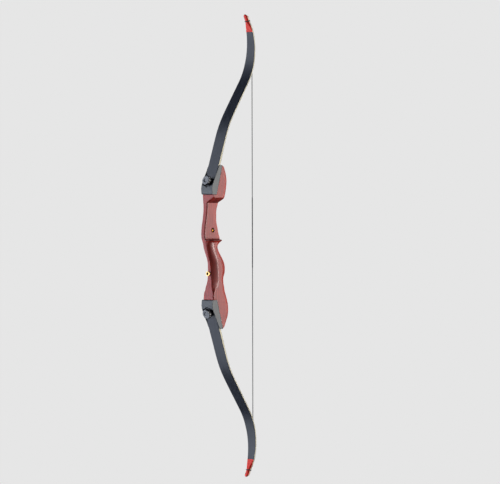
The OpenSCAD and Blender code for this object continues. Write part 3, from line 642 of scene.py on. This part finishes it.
def window_edge_cutter():
    """Rounds the window's front edge off, more and more as it sweeps up the ramp."""
    edge = [(WINDOW_Y, z, 1.0, 0.0, EDGE_ROUND) for z in np.linspace(SHELF_Z + 0.5, WINDOW_TOP - 8, 16)]
    lean = (math.sin(RAMP), math.cos(RAMP))
    corner = WINDOW_TOP + 1.2
    edge.append((WINDOW_Y, corner, 1.0, lean[1] / (1 + lean[0]), RAMP_ROUND))
    for t in np.linspace(8, 44, 7):
        edge.append((WINDOW_Y - t * lean[1], corner + t * lean[0], *lean, RAMP_ROUND + t * RAMP_GROWTH))
    turn = np.radians(np.linspace(180, 270, 9))
    rings = []
    for y, z, ny, nz, size in edge:
        depth = np.concatenate([[-4, -4], size + size * np.cos(turn), [size]])
        inward = np.concatenate([[-6, size], size + size * np.sin(turn), [-6]])
        rings.append([(float(row_at(min(z + b * nz, 260))[1]) + a, y + b * ny, z + b * nz)
                      for a, b in zip(depth, inward)])
    return skin("cut", rings)


def mark_painted_light(mesh):
    """Vertex values for the wood: a painted glow, warmer and lighter towards the back edges, and painted
    shade under the window's ramp, in the shelf's corner and in the plunger hole.
    """
    co, normal = (np.zeros(len(mesh.vertices) * 3) for _ in range(2))
    mesh.vertices.foreach_get("co", co)
    mesh.vertices.foreach_get("normal", normal)
    co, normal = co.reshape(-1, 3) / MM, normal.reshape(-1, 3)
    x, y, z = co.T
    heights = np.linspace(-170, 320, 491)
    back = np.interp(z, heights, [row_at(h)[3] for h in heights])
    # Painted glow: warmer and lighter towards the back edges, except on the far side
    warm = 0.75 * np.clip(1 - (back - x) / 24, 0, 1) ** 1.3 * np.clip((16 - y) / 10, 0, 1)
    # Painted shade: inside the plunger hole, under the window's ramp and in the shelf's corner, where the
    # wood lies in shade
    off = np.hypot(x - PLUNGER_X, z - PLUNGER_Z)
    hole = (off < PLUNGER_D / 2 + 1) & (y > WINDOW_Y + 0.3) & (y < WINDOW_Y + 3)
    ramp_face = (normal[:, 2] < -0.6) & (np.abs(z - 203) < 8)
    corner = (np.abs(z - SHELF_Z) < 3) & (y < WINDOW_Y + 1) & (normal[:, 1] < 0.2)
    dim = np.select([hole, corner, ramp_face], [1.0, 0.5, 0.4], 0.0)
    for name, values in (("dim", dim), ("warm", warm)):
        mesh.attributes.new(name, "FLOAT", "POINT").data.foreach_set("value", values.astype(np.float32))


def make_riser():
    low, high = RISER_ROWS[0, 0], RISER_ROWS[-1, 0]
    # Rings lie closer together under the shelf, where the section changes fast
    heights = np.concatenate([np.arange(low, 91, 2.0), np.arange(91, SHELF_Z + 1, 0.4),
                              np.arange(SHELF_Z + 1.5, high, 2.0), [high]])
    body = skin("riser", [riser_ring(z) for z in heights])
    plunger = (PLUNGER_X, 0, PLUNGER_Z), (0, 1, 0)
    cuts = [butt_cutter(1), butt_cutter(-1), window_cutter(), window_edge_cutter(),
            rod((0, 0, 0), (1, 0, 0), BUSHING_D / 2, -5, BUSHING_LEN),
            rod(*plunger, PLUNGER_D / 2, 0, OUTSIDE),
            rod(*plunger, PLUNGER_D / 2 + 0.6, 0, WINDOW_Y + 1.4)]
    for side in (1, -1):
        insert = (SIGHT_X, 0, SIGHT_Z + side * SIGHT_PITCH / 2)
        cuts.append(rod(insert, (0, 1, 0), SIGHT_R, FAR_Y - SIGHT_LEN - 0.5, OUTSIDE))
        cuts.append(rod(*bolt_line(side), BOLT_D / 2 + 3, 0, INSERT_DEPTH))
    carve(body, cuts, voxel=0.9, smooth=6)
    mark_painted_light(body.data)
    place(body, WOOD, "riser_wood", "riser_body", "riser")


# Pockets
PROUD, SLOT_GAP = 6.4, 1.6
POCKET_FRONT = [(x, POCKET_END + z) for x, z in [(2, 0), (-0.4, 0.9), (-1.6, 3.2), (-2.2, 9)]] + [
    in_half(d, z) for d, z in [
        (-PROUD + 1.4, -6), (-PROUD + 0.2, 3), (-PROUD + 0.2, 9), (-PROUD + 1.3, 18), (-PROUD + 2.6, 27),
        (-PROUD + 3.8, 38), (-0.7, 48), (0.3, 60), (1.6, 66), (4.6, 69.5), (8, 70), (11.5, 69)]]


def bolt_bore():
    return rod(*bolt_line(1), BOLT_D / 2 + BOLT_GAP, -20, OUTSIDE)


def bay_cutter():
    """The limb's slot: seen from the front a V-footed bay, with a bed under the limb's belly."""
    w = LIMB_W / 2 + SIDE_GAP
    slot = SLOT_GAP / math.cos(math.radians(BUTT_POINT))
    foot = w * math.tan(math.radians(BUTT_POINT)) - slot
    bed = [(float(limb_thick(s)) + 0.05, s) for s in (110, 80, 60, 40, 20, 0)] + [(BUTT_THICK + 0.05, -40)]
    bed = [in_half(d, s) for d, s in [(-30, -40), (-30, 110)] + bed]
    side_cut = prism("cut", to_world(bed, 1), "y", -60, 60)
    plan = [(w, foot), (w, 120), (-w, 120), (-w, foot), (0, -slot)]
    rings = []
    for d in (-30, 30):
        x_z = [in_half(d, s) for _, s in plan]
        rings.append(to_world([(x, y, z) for (x, z), (y, _) in zip(x_z, plan)], 1))
    bay = skin("cut", rings)
    carve(bay, [side_cut], how="INTERSECT")
    return bay


def make_pockets():
    outline = [(glue_at(POCKET_END), POCKET_END)] + POCKET_FRONT + [(glue_at(POCKET_TIP), POCKET_TIP)]
    body = prism("upper_pocket", to_world(outline, 1), "y", -BLOCK_HALF, BLOCK_HALF)
    n = len(outline)
    bm = bmesh.new()
    bm.from_mesh(body.data)
    bm.verts.ensure_lookup_table()
    rim = [e for e in bm.edges if all(0 < v.index % n < n - 1 for v in e.verts)
           and (e.verts[0].index < n) == (e.verts[1].index < n)]
    bmesh.ops.bevel(bm, geom=rim, offset=1.0 * MM, segments=3, profile=0.5, affect="EDGES",
                    clamp_overlap=True)
    bm.to_mesh(body.data)
    bm.free()
    carve(body, [bay_cutter(), bolt_bore()], voxel=0.5, smooth=3)
    for half, obj in (("upper", body), ("lower", mirrored(body, "lower_pocket"))):
        place(obj, POCKET, "pocket_black", half + "_limb_pocket", "riser")


# Limbs
def stations(s0, s1):
    """Ring places along a limb, close together where its outline turns fast."""
    turn = np.cos(np.radians(np.arange(0, 181, 10)))
    round_end = LIMB_LEN - HEAD_W / 2 * (1 - np.sin(np.radians(np.arange(0, 90, 7))))
    s = np.concatenate([np.arange(0, 20, 1.0), np.arange(20, 330, 5.0), np.arange(330, OVERLAY_S - 3, 3.0),
                        np.arange(OVERLAY_S - 3, LIMB_LEN - 7, 1.2), NOCK_S + NOCK_R * turn,
                        NOCK_S + FRONT_NOCK_R * turn, round_end])
    s = np.sort(s)
    s = s[np.append(True, np.diff(s) > 0.02)]
    s = s[(s > s0 + 0.2) & (s < s1 - 0.02)]
    return np.concatenate([[s0], s, [s1]])


def layer(name, s0, s1, near, far, soft_near=0.0, soft_far=0.0, crown=None, across=15):
    """One lamination: near(s) and far(s) are its two depths, with a soft edge on each face;
    crown(s, share of half width) lowers the near face."""
    steps = np.linspace(-1, 1, across)
    rings, uvs = [], []
    for s in stations(s0, s1):
        w = float(half_width(max(s, 0.03)))
        d0, d1 = float(near(s)), float(far(s))
        d1 = max(d1, d0 + 0.02)
        e0, e1 = min(soft_near, w / 3, (d1 - d0) / 2), min(soft_far, w / 3, (d1 - d0) / 2)
        fall = [crown(s, a) if crown else 0 for a in steps]
        pts = [(a * (w - e0), d0 + f) for a, f in zip(steps, fall)]
        pts += [(w - e0 * 0.3, d0 + e0 * 0.3 + fall[-1]), (w, d0 + e0 + fall[-1]), (w, d1 - e1),
                (w - e1 * 0.3, d1 - e1 * 0.3)]
        pts += [(a * (w - e1), d1) for a in steps[::-1]]
        pts += [(-w + e1 * 0.3, d1 - e1 * 0.3), (-w, d1 - e1), (-w, d0 + e0 + fall[0]),
                (-w + e0 * 0.3, d0 + e0 * 0.3 + fall[0])]
        y, d = np.array(pts).T
        # Beyond the nock the rings lean until they lie along the flat end
        lean = float(ramp(s, NOCK_S + 3, LIMB_LEN - 1)) * math.tan(-float(limb_angle(s)))
        x, z = limb_at(s - lean * np.maximum(0, d), d)
        rings.append(np.column_stack([x, y, MID_Z + z]))
        uvs.append(np.column_stack([y + d * 1.7, np.full(len(y), s)]))
    obj = skin(name, rings, sharp=32)
    index = np.zeros(len(obj.data.loops), int)
    obj.data.loops.foreach_get("vertex_index", index)
    uv = np.concatenate(uvs)[index] * MM
    obj.data.uv_layers.new(name="along").data.foreach_set("uv", uv.astype(np.float32).ravel())
    return obj


def overlay_front(s):
    """Depth of the overlay's face: thin at its foot, thick at the nock, rounded down to the end."""
    grown = OVERLAY_FOOT * share(s, OVERLAY_S - 1, OVERLAY_S + 4)
    grown += (OVERLAY_THICK - OVERLAY_FOOT) * share(s, OVERLAY_S + 4, NOCK_S - 7)
    grown *= 1 - 0.5 * share(s, LIMB_LEN - 8, LIMB_LEN) ** 2
    off = abs(s - NOCK_S)
    if off < FRONT_NOCK_R:
        grown = min(grown, OVERLAY_THICK + NOCK_OUT / 2 - math.sqrt(FRONT_NOCK_R ** 2 - off ** 2))
    return -float(grown)


def overlay_crown(s, a):
    """The overlay's sides are carved away in a bevel that widens from its foot to the nock."""
    grown = float(share(s, OVERLAY_S + 2, NOCK_S - 5))
    if grown == 0:
        return 0.0
    inner = 1 - 0.62 * grown ** 0.7
    fall = float(share(abs(a), inner, 1))
    return -overlay_front(s) * 0.72 * fall * (0.35 + 0.65 * fall)


def make_limbs():
    def lam_far(s):
        return limb_thick(s) - wedge_thick(s) - GLASS

    def belly_near(s):
        return limb_thick(s) - GLASS

    def front(s):
        return 0

    def under_glass(s):
        return GLASS

    cream, black, red = (CORE, "core_cream"), (FIBREGLASS, "glass_black"), (OVERLAY, "overlay_red")
    pieces = [
        ("limb_core", layer("upper_core", 0, LIMB_LEN, under_glass, lam_far), cream),
        ("limb_wedge", layer("upper_wedge", 0, WEDGE_LEN, lam_far, belly_near), cream),
        ("limb_front_glass", layer("upper_front_glass", 0, LIMB_LEN, front, under_glass, 0.35), black),
        ("limb_belly_glass", layer("upper_belly_glass", 0, LIMB_LEN, belly_near, limb_thick, 0, 0.35), black),
        ("tip_overlay", layer("upper_overlay", OVERLAY_S, LIMB_LEN, overlay_front, front, 0.25, 0,
                              overlay_crown, 41), red)]
    for node, obj, finish in pieces:
        bends = node != "tip_overlay"
        if bends:
            carve(obj, [bolt_bore()])
        twin = mirrored(obj, obj.name.replace("upper", "lower"))
        for half, o, side in (("upper", obj, 1), ("lower", twin, -1)):
            place(o, *finish, half + "_" + node, None if bends else half + "_limb")
            if bends:
                blend_along(o, side, (70, 4), (250, 2))


# Knobs, washers, bolts
SCALLOP_R, SCALLOP_DEPTH, SCALLOP_SOFT = 3.9, 1.3, 0.55


def knob_radius(theta, r, h):
    """Finger scallops round the knob's rim, fading towards its collar. h counts from the knob's face."""
    part = 2 * math.pi / SCALLOPS
    off = theta % part - part / 2
    c = KNOB_D / 2 - SCALLOP_DEPTH + SCALLOP_R
    inside = np.maximum(0, SCALLOP_R ** 2 - (c * np.sin(off)) ** 2)
    edge = np.where(c * np.abs(np.sin(off)) < SCALLOP_R, c * np.cos(off) - np.sqrt(inside), 1e3)
    limit = edge + 3 * np.clip((h - (KNOB_H - COLLAR_H - 0.9)) / 0.8, 0, 1)
    k = SCALLOP_SOFT
    soft = -np.log(np.exp(-np.full_like(theta, r) / k) + np.exp(-np.minimum(limit, r + 30) / k)) * k
    return np.where(r > KNOB_D / 2 - 4, np.minimum(soft, r), r)


def make_knobs():
    r = KNOB_D / 2
    face = [(0.02, 1.2), (1.5, 1.2), (4.6, 1.15), (5.6, 1.05), (6.2, 0.75), (6.6, 0.35), (7.1, 0.08),
            (7.8, 0), (9.6, 0), (r - 3.1, 0.0), (r - 2.0, 0.06), (r - 1.2, 0.28), (r - 0.6, 0.7),
            (r - 0.2, 1.3), (r, 2.1)]
    foot = KNOB_H - COLLAR_H
    wall = [(r, h) for h in np.linspace(2.8, foot - 2, 6)]
    back = [(r - 0.15, foot - 1.7), (r - 0.7, foot - 1.2), (r - 1.6, foot - 0.7), (r - 2.5, foot - 0.35),
            (r - 3.2, foot), (r - 3.7, foot + 0.7), (r - 4.0, foot + 1.8), (r - 4.3, foot + 3.2),
            (r - 4.5, KNOB_H - 0.3), (r - 4.8, KNOB_H - 0.02), (BOLT_D / 2 + 0.02, KNOB_H - 0.02)]
    r0, r1 = BOLT_D / 2 + 0.3, WASHER_D / 2
    ring = [(r0 + 0.25, 0), (r1 - 0.35, 0), (r1, 0.35), (r1, WASHER_H - 0.35), (r1 - 0.35, WASHER_H),
            (r0 + 0.25, WASHER_H), (r0, WASHER_H - 0.25), (r0, 0.25)]
    for half, side in (("upper", 1), ("lower", -1)):
        o, v = (Vector(a) for a in bolt_line(side))
        knob = turned(half + "_knob_moulded", o - v * (WASHER_H + KNOB_H), v, face + wall + back,
                      sides=192, sharp=50, radius=knob_radius)
        place(knob, KNOB, "knob_black", half + "_knob", half + "_knob")
        washer = turned(half + "_washer_chamfered", o - v * WASHER_H, v, ring, hollow=True)
        place(washer, WASHER, "washer_black", half + "_limb_washer", half + "_washer")
        make_bolt(half, side)


def helix(pitch, depth, hand=1):
    """Radius lost in a thread's groove, by angle and height; hand is -1 for a mirrored frame."""
    def lost(theta, h):
        f = (h / pitch - hand * theta / (2 * math.pi)) % 1.0
        return depth * np.abs(2 * f - 1)
    return lost


def make_bolt(half, side):
    o, v = (Vector(a) for a in bolt_line(side))
    plain = KNOB_H - BOLT_COVER + WASHER_H
    length = plain + BOLT_LEN
    groove = helix(*BOLT_THREAD, side)

    def radius(theta, r, h):
        fade = np.clip((h - plain - 1) / 1.5, 0, 1) * np.clip((length - h) / 1.2, 0.3, 1)
        return np.maximum(0.3, r - groove(theta, h) * fade)

    r = BOLT_D / 2
    rows = [(r - 0.4, 0), (r, 0.4), (r, plain * 0.5), (r, plain)]
    rows += [(r, h) for h in np.arange(plain + 0.3, length - 0.8, BOLT_THREAD[0] / 6)]
    rows += [(r - 0.3, length - 0.5), (r - 0.9, length)]
    bolt = turned(half + "_bolt_threaded", o - v * plain, v, rows, sides=40, sharp=None, radius=radius)
    place(bolt, STEEL, "bolt_steel", half + "_limb_bolt", half + "_knob")


# Brass fittings
def threaded_tube(name, origin, along, outer, bore, thread, length, blind, mouth=0.0):
    """A bushing from its outer rows and a threaded bore; blind is the thickness of its floor, 0 where it is
    open, and mouth the depth of its countersink."""
    groove = helix(*thread)
    floor = length - blind
    inner = [(bore + 0.1, mouth + 0.1)] if mouth else [(bore + 0.55, 0.0), (bore, 0.55)]
    cut = [(bore, h) for h in np.arange(mouth + 0.75, floor - 0.3, thread[0] / 6)]
    rows = outer[::-1] + inner + cut
    if blind:
        rows = [(0.02, length)] + rows + [(bore, floor), (0.02, floor)]
    else:
        rows.append((bore + 0.3, length))

    def radius(theta, r, h):
        rr = np.full_like(theta, float(r))
        if abs(r - bore) < 1e-6:
            fade = np.clip((h - mouth - 0.6) / 0.8, 0, 1) * np.clip((floor - 0.6 - h) / 0.8, 0, 1)
            rr = rr + groove(theta, h) * fade
        return rr

    return turned(name, origin, along, rows, sides=48, sharp=35, radius=radius, hollow=not blind)


def make_fittings():
    f, b = FLANGE_D / 2, BUSHING_D / 2
    outer = [(THREAD_R + 0.75, 0), (f - 0.5, 0), (f - 0.15, 0.15), (f, 0.5), (f, FLANGE_H - 0.4),
             (f - 0.35, FLANGE_H), (b + 0.05, FLANGE_H + 0.05), (b, FLANGE_H + 0.3), (b, BUSHING_LEN - 0.4),
             (b - 0.4, BUSHING_LEN)]
    stabiliser = threaded_tube("stabiliser_bushing_turned", (0, 0, 0), (1, 0, 0), outer, THREAD_R,
                               BUSHING_THREAD, BUSHING_LEN, 4.0)
    place(stabiliser, BRASS, "brass_fitting", "stabiliser_bushing", "riser")
    length = FAR_Y - WINDOW_Y - PLUNGER_SUNK - 0.5
    p = PLUNGER_D / 2
    outer = [(THREAD_R + 0.15, 2.6), (p - 0.35, 0.12), (p - 0.2, 0), (p, 0.2), (p, length - 0.3),
             (p - 0.3, length), (THREAD_R + 0.6, length)]
    plunger = threaded_tube("plunger_bushing_turned", (PLUNGER_X, WINDOW_Y + PLUNGER_SUNK, PLUNGER_Z),
                            (0, 1, 0), outer, THREAD_R, BUSHING_THREAD, length, 0, 2.7)
    place(plunger, BRASS, "brass_fitting", "plunger_bushing", "riser")
    outer = [(SIGHT_THREAD_R + 0.6, 0), (SIGHT_R - 0.25, 0), (SIGHT_R, 0.25), (SIGHT_R, SIGHT_LEN - 0.3),
             (SIGHT_R - 0.3, SIGHT_LEN)]
    pair = [threaded_tube("sight", (SIGHT_X, FAR_Y - 0.5, SIGHT_Z + side * SIGHT_PITCH / 2), (0, -1, 0),
                          outer, SIGHT_THREAD_R, SIGHT_THREAD, SIGHT_LEN, 1.0) for side in (1, -1)]
    place(joined("sight_inserts_turned", pair), BRASS, "brass_fitting", "sight_inserts", "riser")
    # The bolt inserts lie inside the wood and show their CAD meshes
    for half in ("upper", "lower"):
        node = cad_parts[half + "_bolt_insert"]
        node.data.materials.clear()
        node.data.materials.append(BRASS)


# String: LIE is its clearance over the belly, and it leaves the belly at CONTACT_S
SERVING_R = STRING_D / 2 + SERVING_WALL
LIE, LOOP_LEN, WINDING = 0.15, 34.0, 0.7
CONTACT_S = RECURVE_START + (LIMB_LEN - RECURVE_START) * (BEND_DEG + TILT) / RECURVE_DEG
FOOT_S = NOCK_S - LOOP_LEN


def on_belly(s):
    return limb_at(s, limb_thick(s) + SERVING_R + LIE)


STRING_X, CONTACT_Z = (float(v) for v in on_belly(CONTACT_S))


def resample(points, gap):
    """Even steps along a smooth curve through the points."""
    p = np.asarray(points, float)
    ext = np.vstack([2 * p[0] - p[1], p, 2 * p[-1] - p[-2]])
    out = []
    for i in range(1, len(ext) - 2):
        t = np.linspace(0, 1, 24, endpoint=False)[:, None]
        a, b, c, d = ext[i - 1:i + 3]
        out.append(0.5 * (2 * b + (c - a) * t + (2 * a - 5 * b + 4 * c - d) * t ** 2
                          + (3 * b - a - 3 * c + d) * t ** 3))
    out = np.vstack(out + [p[-1:]])
    run = np.concatenate([[0], np.cumsum(np.linalg.norm(np.diff(out, axis=0), axis=1))])
    n = max(2, int(round(run[-1] / gap)) + 1)
    at = np.linspace(0, run[-1], n)
    return np.stack([np.interp(at, run, out[:, k]) for k in range(3)], 1), at


def sweep(name, points, gap, radius, sides):
    """A tube along points; radius(theta, run) gives its skin's radius, with frames that don't twist."""
    p, run = resample(points, gap)
    t = np.gradient(p, axis=0)
    t /= np.linalg.norm(t, axis=1)[:, None]
    n = np.array([0.0, 1.0, 0.0])
    theta = np.linspace(0, 2 * math.pi, sides, endpoint=False)
    rings = []
    for i in range(len(p)):
        n = n - t[i] * (n @ t[i])
        n /= np.linalg.norm(n)
        b = np.cross(t[i], n)
        r = radius(theta, run[i])[:, None]
        rings.append(p[i] + r * (np.cos(theta)[:, None] * n + np.sin(theta)[:, None] * b))
    return skin(name, rings, sharp=70)


def lobe(f):
    """A half circle over each whole turn of f."""
    return np.sqrt(np.maximum(0, 1 - (2 * (f % 1.0) - 1) ** 2))


def served(r_out):
    """Tight round windings of serving thread."""
    return lambda theta, run: (r_out - 0.22) + 0.22 * lobe(run / WINDING - theta / (2 * math.pi))


def twisted(r_out, strands=9, lead=55.0):
    """A bundle of strands with a slow twist."""
    return lambda theta, run: r_out * (0.85 + 0.15 * lobe((theta / (2 * math.pi) - run / lead) * strands))


def upright(z0, z1, count):
    return [(STRING_X, 0, z) for z in np.linspace(z0, z1, count)]


def make_string():
    for half, side, serving in (("upper", 1, SERVING_UP), ("lower", -1, SERVING_DOWN)):
        start = NOCKING_Z + side * PART_GAP
        last = MID_Z + side * (CONTACT_Z - CONTACT_GAP)
        turn_in = last - side * END_SERVED
        bundle = sweep("bundle", upright(start, turn_in, 12), 2.5, twisted(STRING_D / 2), 36)
        bundle.data.materials.append(STRAND)
        end = sweep("served", upright(turn_in, last, 6), WINDING / 5, served(SERVING_R), 16)
        end.data.materials.append(SERVED)
        strands = joined(half + "_strands_twisted", [bundle, end])
        place(strands, None, "string_black", half + "_string_strands", half + "_string")
        centre = sweep(half + "_centre_serving_wound", upright(start, NOCKING_Z + side * serving, 6),
                       WINDING / 5, served(SERVING_R), 16)
        place(centre, SERVED, "serving_black", half + "_centre_serving", half + "_string")
        spots = [on_belly(s) for s in np.linspace(FOOT_S, CONTACT_S, 16)]
        belly = [(float(x), 0.0, float(z)) for x, z in spots]
        wound = sweep(half + "_end_serving_wound", to_world(belly, side), WINDING / 5,
                      served(SERVING_R), 16)
        place(wound, SERVED, "serving_black", half + "_end_serving", half + "_string_end")
        loop = sweep(half + "_loop_wound", to_world(loop_points(), side), WINDING / 5,
                     served(STRING_D / 2), 14)
        place(loop, SERVED, "string_black", half + "_string_loop")
        blend_along(loop, side, (NOCK_S - 1, 2), (NOCK_S - 16, 2))


def loop_points():
    """The loop's path: along one arm, round the nock over the overlay's face, and back along the other."""
    r = STRING_D / 2
    side_floor = HEAD_W / 2 + NOCK_OUT - NOCK_R
    y = side_floor + 0.3 + r
    front = -OVERLAY_THICK - NOCK_OUT / 2 + FRONT_NOCK_R - 0.3 - r
    belly = float(limb_thick(NOCK_S)) + r + LIE
    n = LOOP_LEN
    # Distance from the loop's foot, y, depth
    arm = [(0.4, r + 0.3, belly), (n * 0.24, r + 1, belly), (n * 0.47, r + 2, belly),
           (n * 0.71, r + 3.1, belly), (n - 4, side_floor, belly + 0.15), (n - 1, y - 0.8, belly + 0.3),
           (n, y - 0.2, belly - 0.5), (n, y, belly - 1.7), (n, y, (belly + front) / 2),
           (n, y, front + 2.2), (n, y - 0.15, front + 0.9), (n, y - 1.1, front), (n, y / 2, front)]
    pts = []
    for a, yy, d in arm + [(n, 0, front)] + [(a, -yy, d) for a, yy, d in arm[::-1]]:
        x, z = limb_at(FOOT_S + a, d)
        pts.append((float(x), yy, float(z)))
    return pts


# Camera, light, floor
VIEW_DEG = (-46.02, 1.32, -0.154)
AIM_RIGHT, AIM_UP, AWAY = 0.12207, 0.09078, 6.0


def make_camera():
    azimuth, elevation, roll = (math.radians(v) for v in VIEW_DEG)
    right = Vector((math.cos(azimuth), math.sin(azimuth), 0))
    back = Vector((math.sin(azimuth) * math.cos(elevation), -math.cos(azimuth) * math.cos(elevation),
                   math.sin(elevation)))
    upward = back.cross(right)
    x = right * math.cos(roll) + upward * math.sin(roll)
    y = -right * math.sin(roll) + upward * math.cos(roll)
    spot = right * AIM_RIGHT + Vector((0, 0, AIM_UP)) + back * AWAY
    data = bpy.data.cameras.new("camera")
    data.lens, data.sensor_fit, data.sensor_width = 150.8, "HORIZONTAL", 36
    data.clip_start, data.clip_end = 0.05, 200
    cam = link(bpy.data.objects.new("camera", data))
    cam.matrix_world = Matrix((*zip(x, y, back, spot), (0, 0, 0, 1)))
    scene.camera = cam


PALE, AMBIENT, FLOOR_Z, FLOOR_HALF, DOME_R = 0.791, 0.075, -1900, 20000, 30000
COOL, WHITE = (0.80, 0.87, 1.0), (1.0, 0.99, 0.97)
# Name, place, aim, width, height, radiance, colour
LIGHTS = [
    ("cool_light", (-1.75, 2.2, -0.3), (0, 0, -0.1), 2.6, 4.3, 2.9, COOL),
    ("cool_low", (-1.7, 2.1, -0.4), (0, 0, -0.1), 2.4, 1.1, 0.9, COOL),
    ("cool_high", (-1.7, 2.1, 1.6), (0, 0, 0.3), 2.4, 0.9, 1.6, COOL),
    ("white_light", (2.15, -1.85, 0.3), (0, 0, 0.05), 2.4, 3.0, 3.6, WHITE),
    ("back_light", (1.9, 2.0, 0.5), (0, 0, 0.05), 2.5, 3.0, 0.3, (0.92, 0.96, 1.0))]
# These give highlights only
STRIPS = [
    ("cool_strip", (-2.6, 0.8, 0.0), (0, 0, 0.05), 0.5, 2.6, 9.0, (0.88, 0.88, 1.0)),
    ("white_strip", (0.85, -2.5, 0.1), (0, 0, 0.05), 0.5, 2.6, 30.0, (1.0, 0.98, 0.95))]


def panel(name, spot, aim, width, height, radiance, colour):
    data = bpy.data.lights.new(name, "AREA")
    data.shape, data.size, data.size_y = "RECTANGLE", width, height
    data.energy = radiance * math.pi * width * height
    data.color = colour
    obj = link(bpy.data.objects.new(name, data))
    obj.location = spot
    obj.rotation_euler = (Vector(aim) - Vector(spot)).to_track_quat("-Z", "Y").to_euler()
    obj.visible_camera = False
    return obj


def hide_from_light(obj):
    """The background shows to the camera and doesn't light the bow."""
    obj.visible_diffuse = obj.visible_glossy = obj.visible_transmission = obj.visible_shadow = False


def make_studio():
    world = bpy.data.worlds.new("studio")
    world.use_nodes = True
    sky = world.node_tree.nodes["Background"]
    sky.inputs["Color"].default_value = (0.90, 0.95, 1.0, 1)
    sky.inputs["Strength"].default_value = AMBIENT
    scene.world = world
    pale = bpy.data.materials.new("background_pale")
    pale.use_nodes = True
    tree = pale.node_tree
    tree.nodes.remove(tree.nodes["Principled BSDF"])
    glow = tree.nodes.new("ShaderNodeEmission")
    glow.inputs["Color"].default_value = (PALE, PALE, PALE, 1)
    tree.links.new(glow.outputs[0], tree.nodes["Material Output"].inputs["Surface"])
    f = FLOOR_HALF
    floor = make("floor", [(x, y, FLOOR_Z) for x, y in ((-f, -f), (f, -f), (f, f), (-f, f))], [(0, 1, 2, 3)])
    rings = [[(DOME_R * math.cos(a) * math.cos(e), DOME_R * math.sin(a) * math.cos(e), DOME_R * math.sin(e))
              for a in np.linspace(0, 2 * math.pi, 32, endpoint=False)]
             for e in np.radians([-80, -60, -40, -20, 0, 20, 40, 60, 80])]
    dome = skin("backdrop", rings)
    for obj in (floor, dome):
        obj.data.materials.append(pale)
        hide_from_light(obj)
    # Tall soft lights at either side of the camera's line, each with a brighter strip nearer to it
    for values in LIGHTS:
        panel(*values)
    for values in STRIPS:
        panel(*values).visible_diffuse = False
    scene.view_settings.view_transform = "Standard"
    scene.view_settings.look = "None"
    scene.view_settings.exposure = 0
    scene.view_settings.gamma = 1


make_camera()
make_studio()
make_riser()
make_pockets()
make_limbs()
make_knobs()
make_fittings()
make_string()
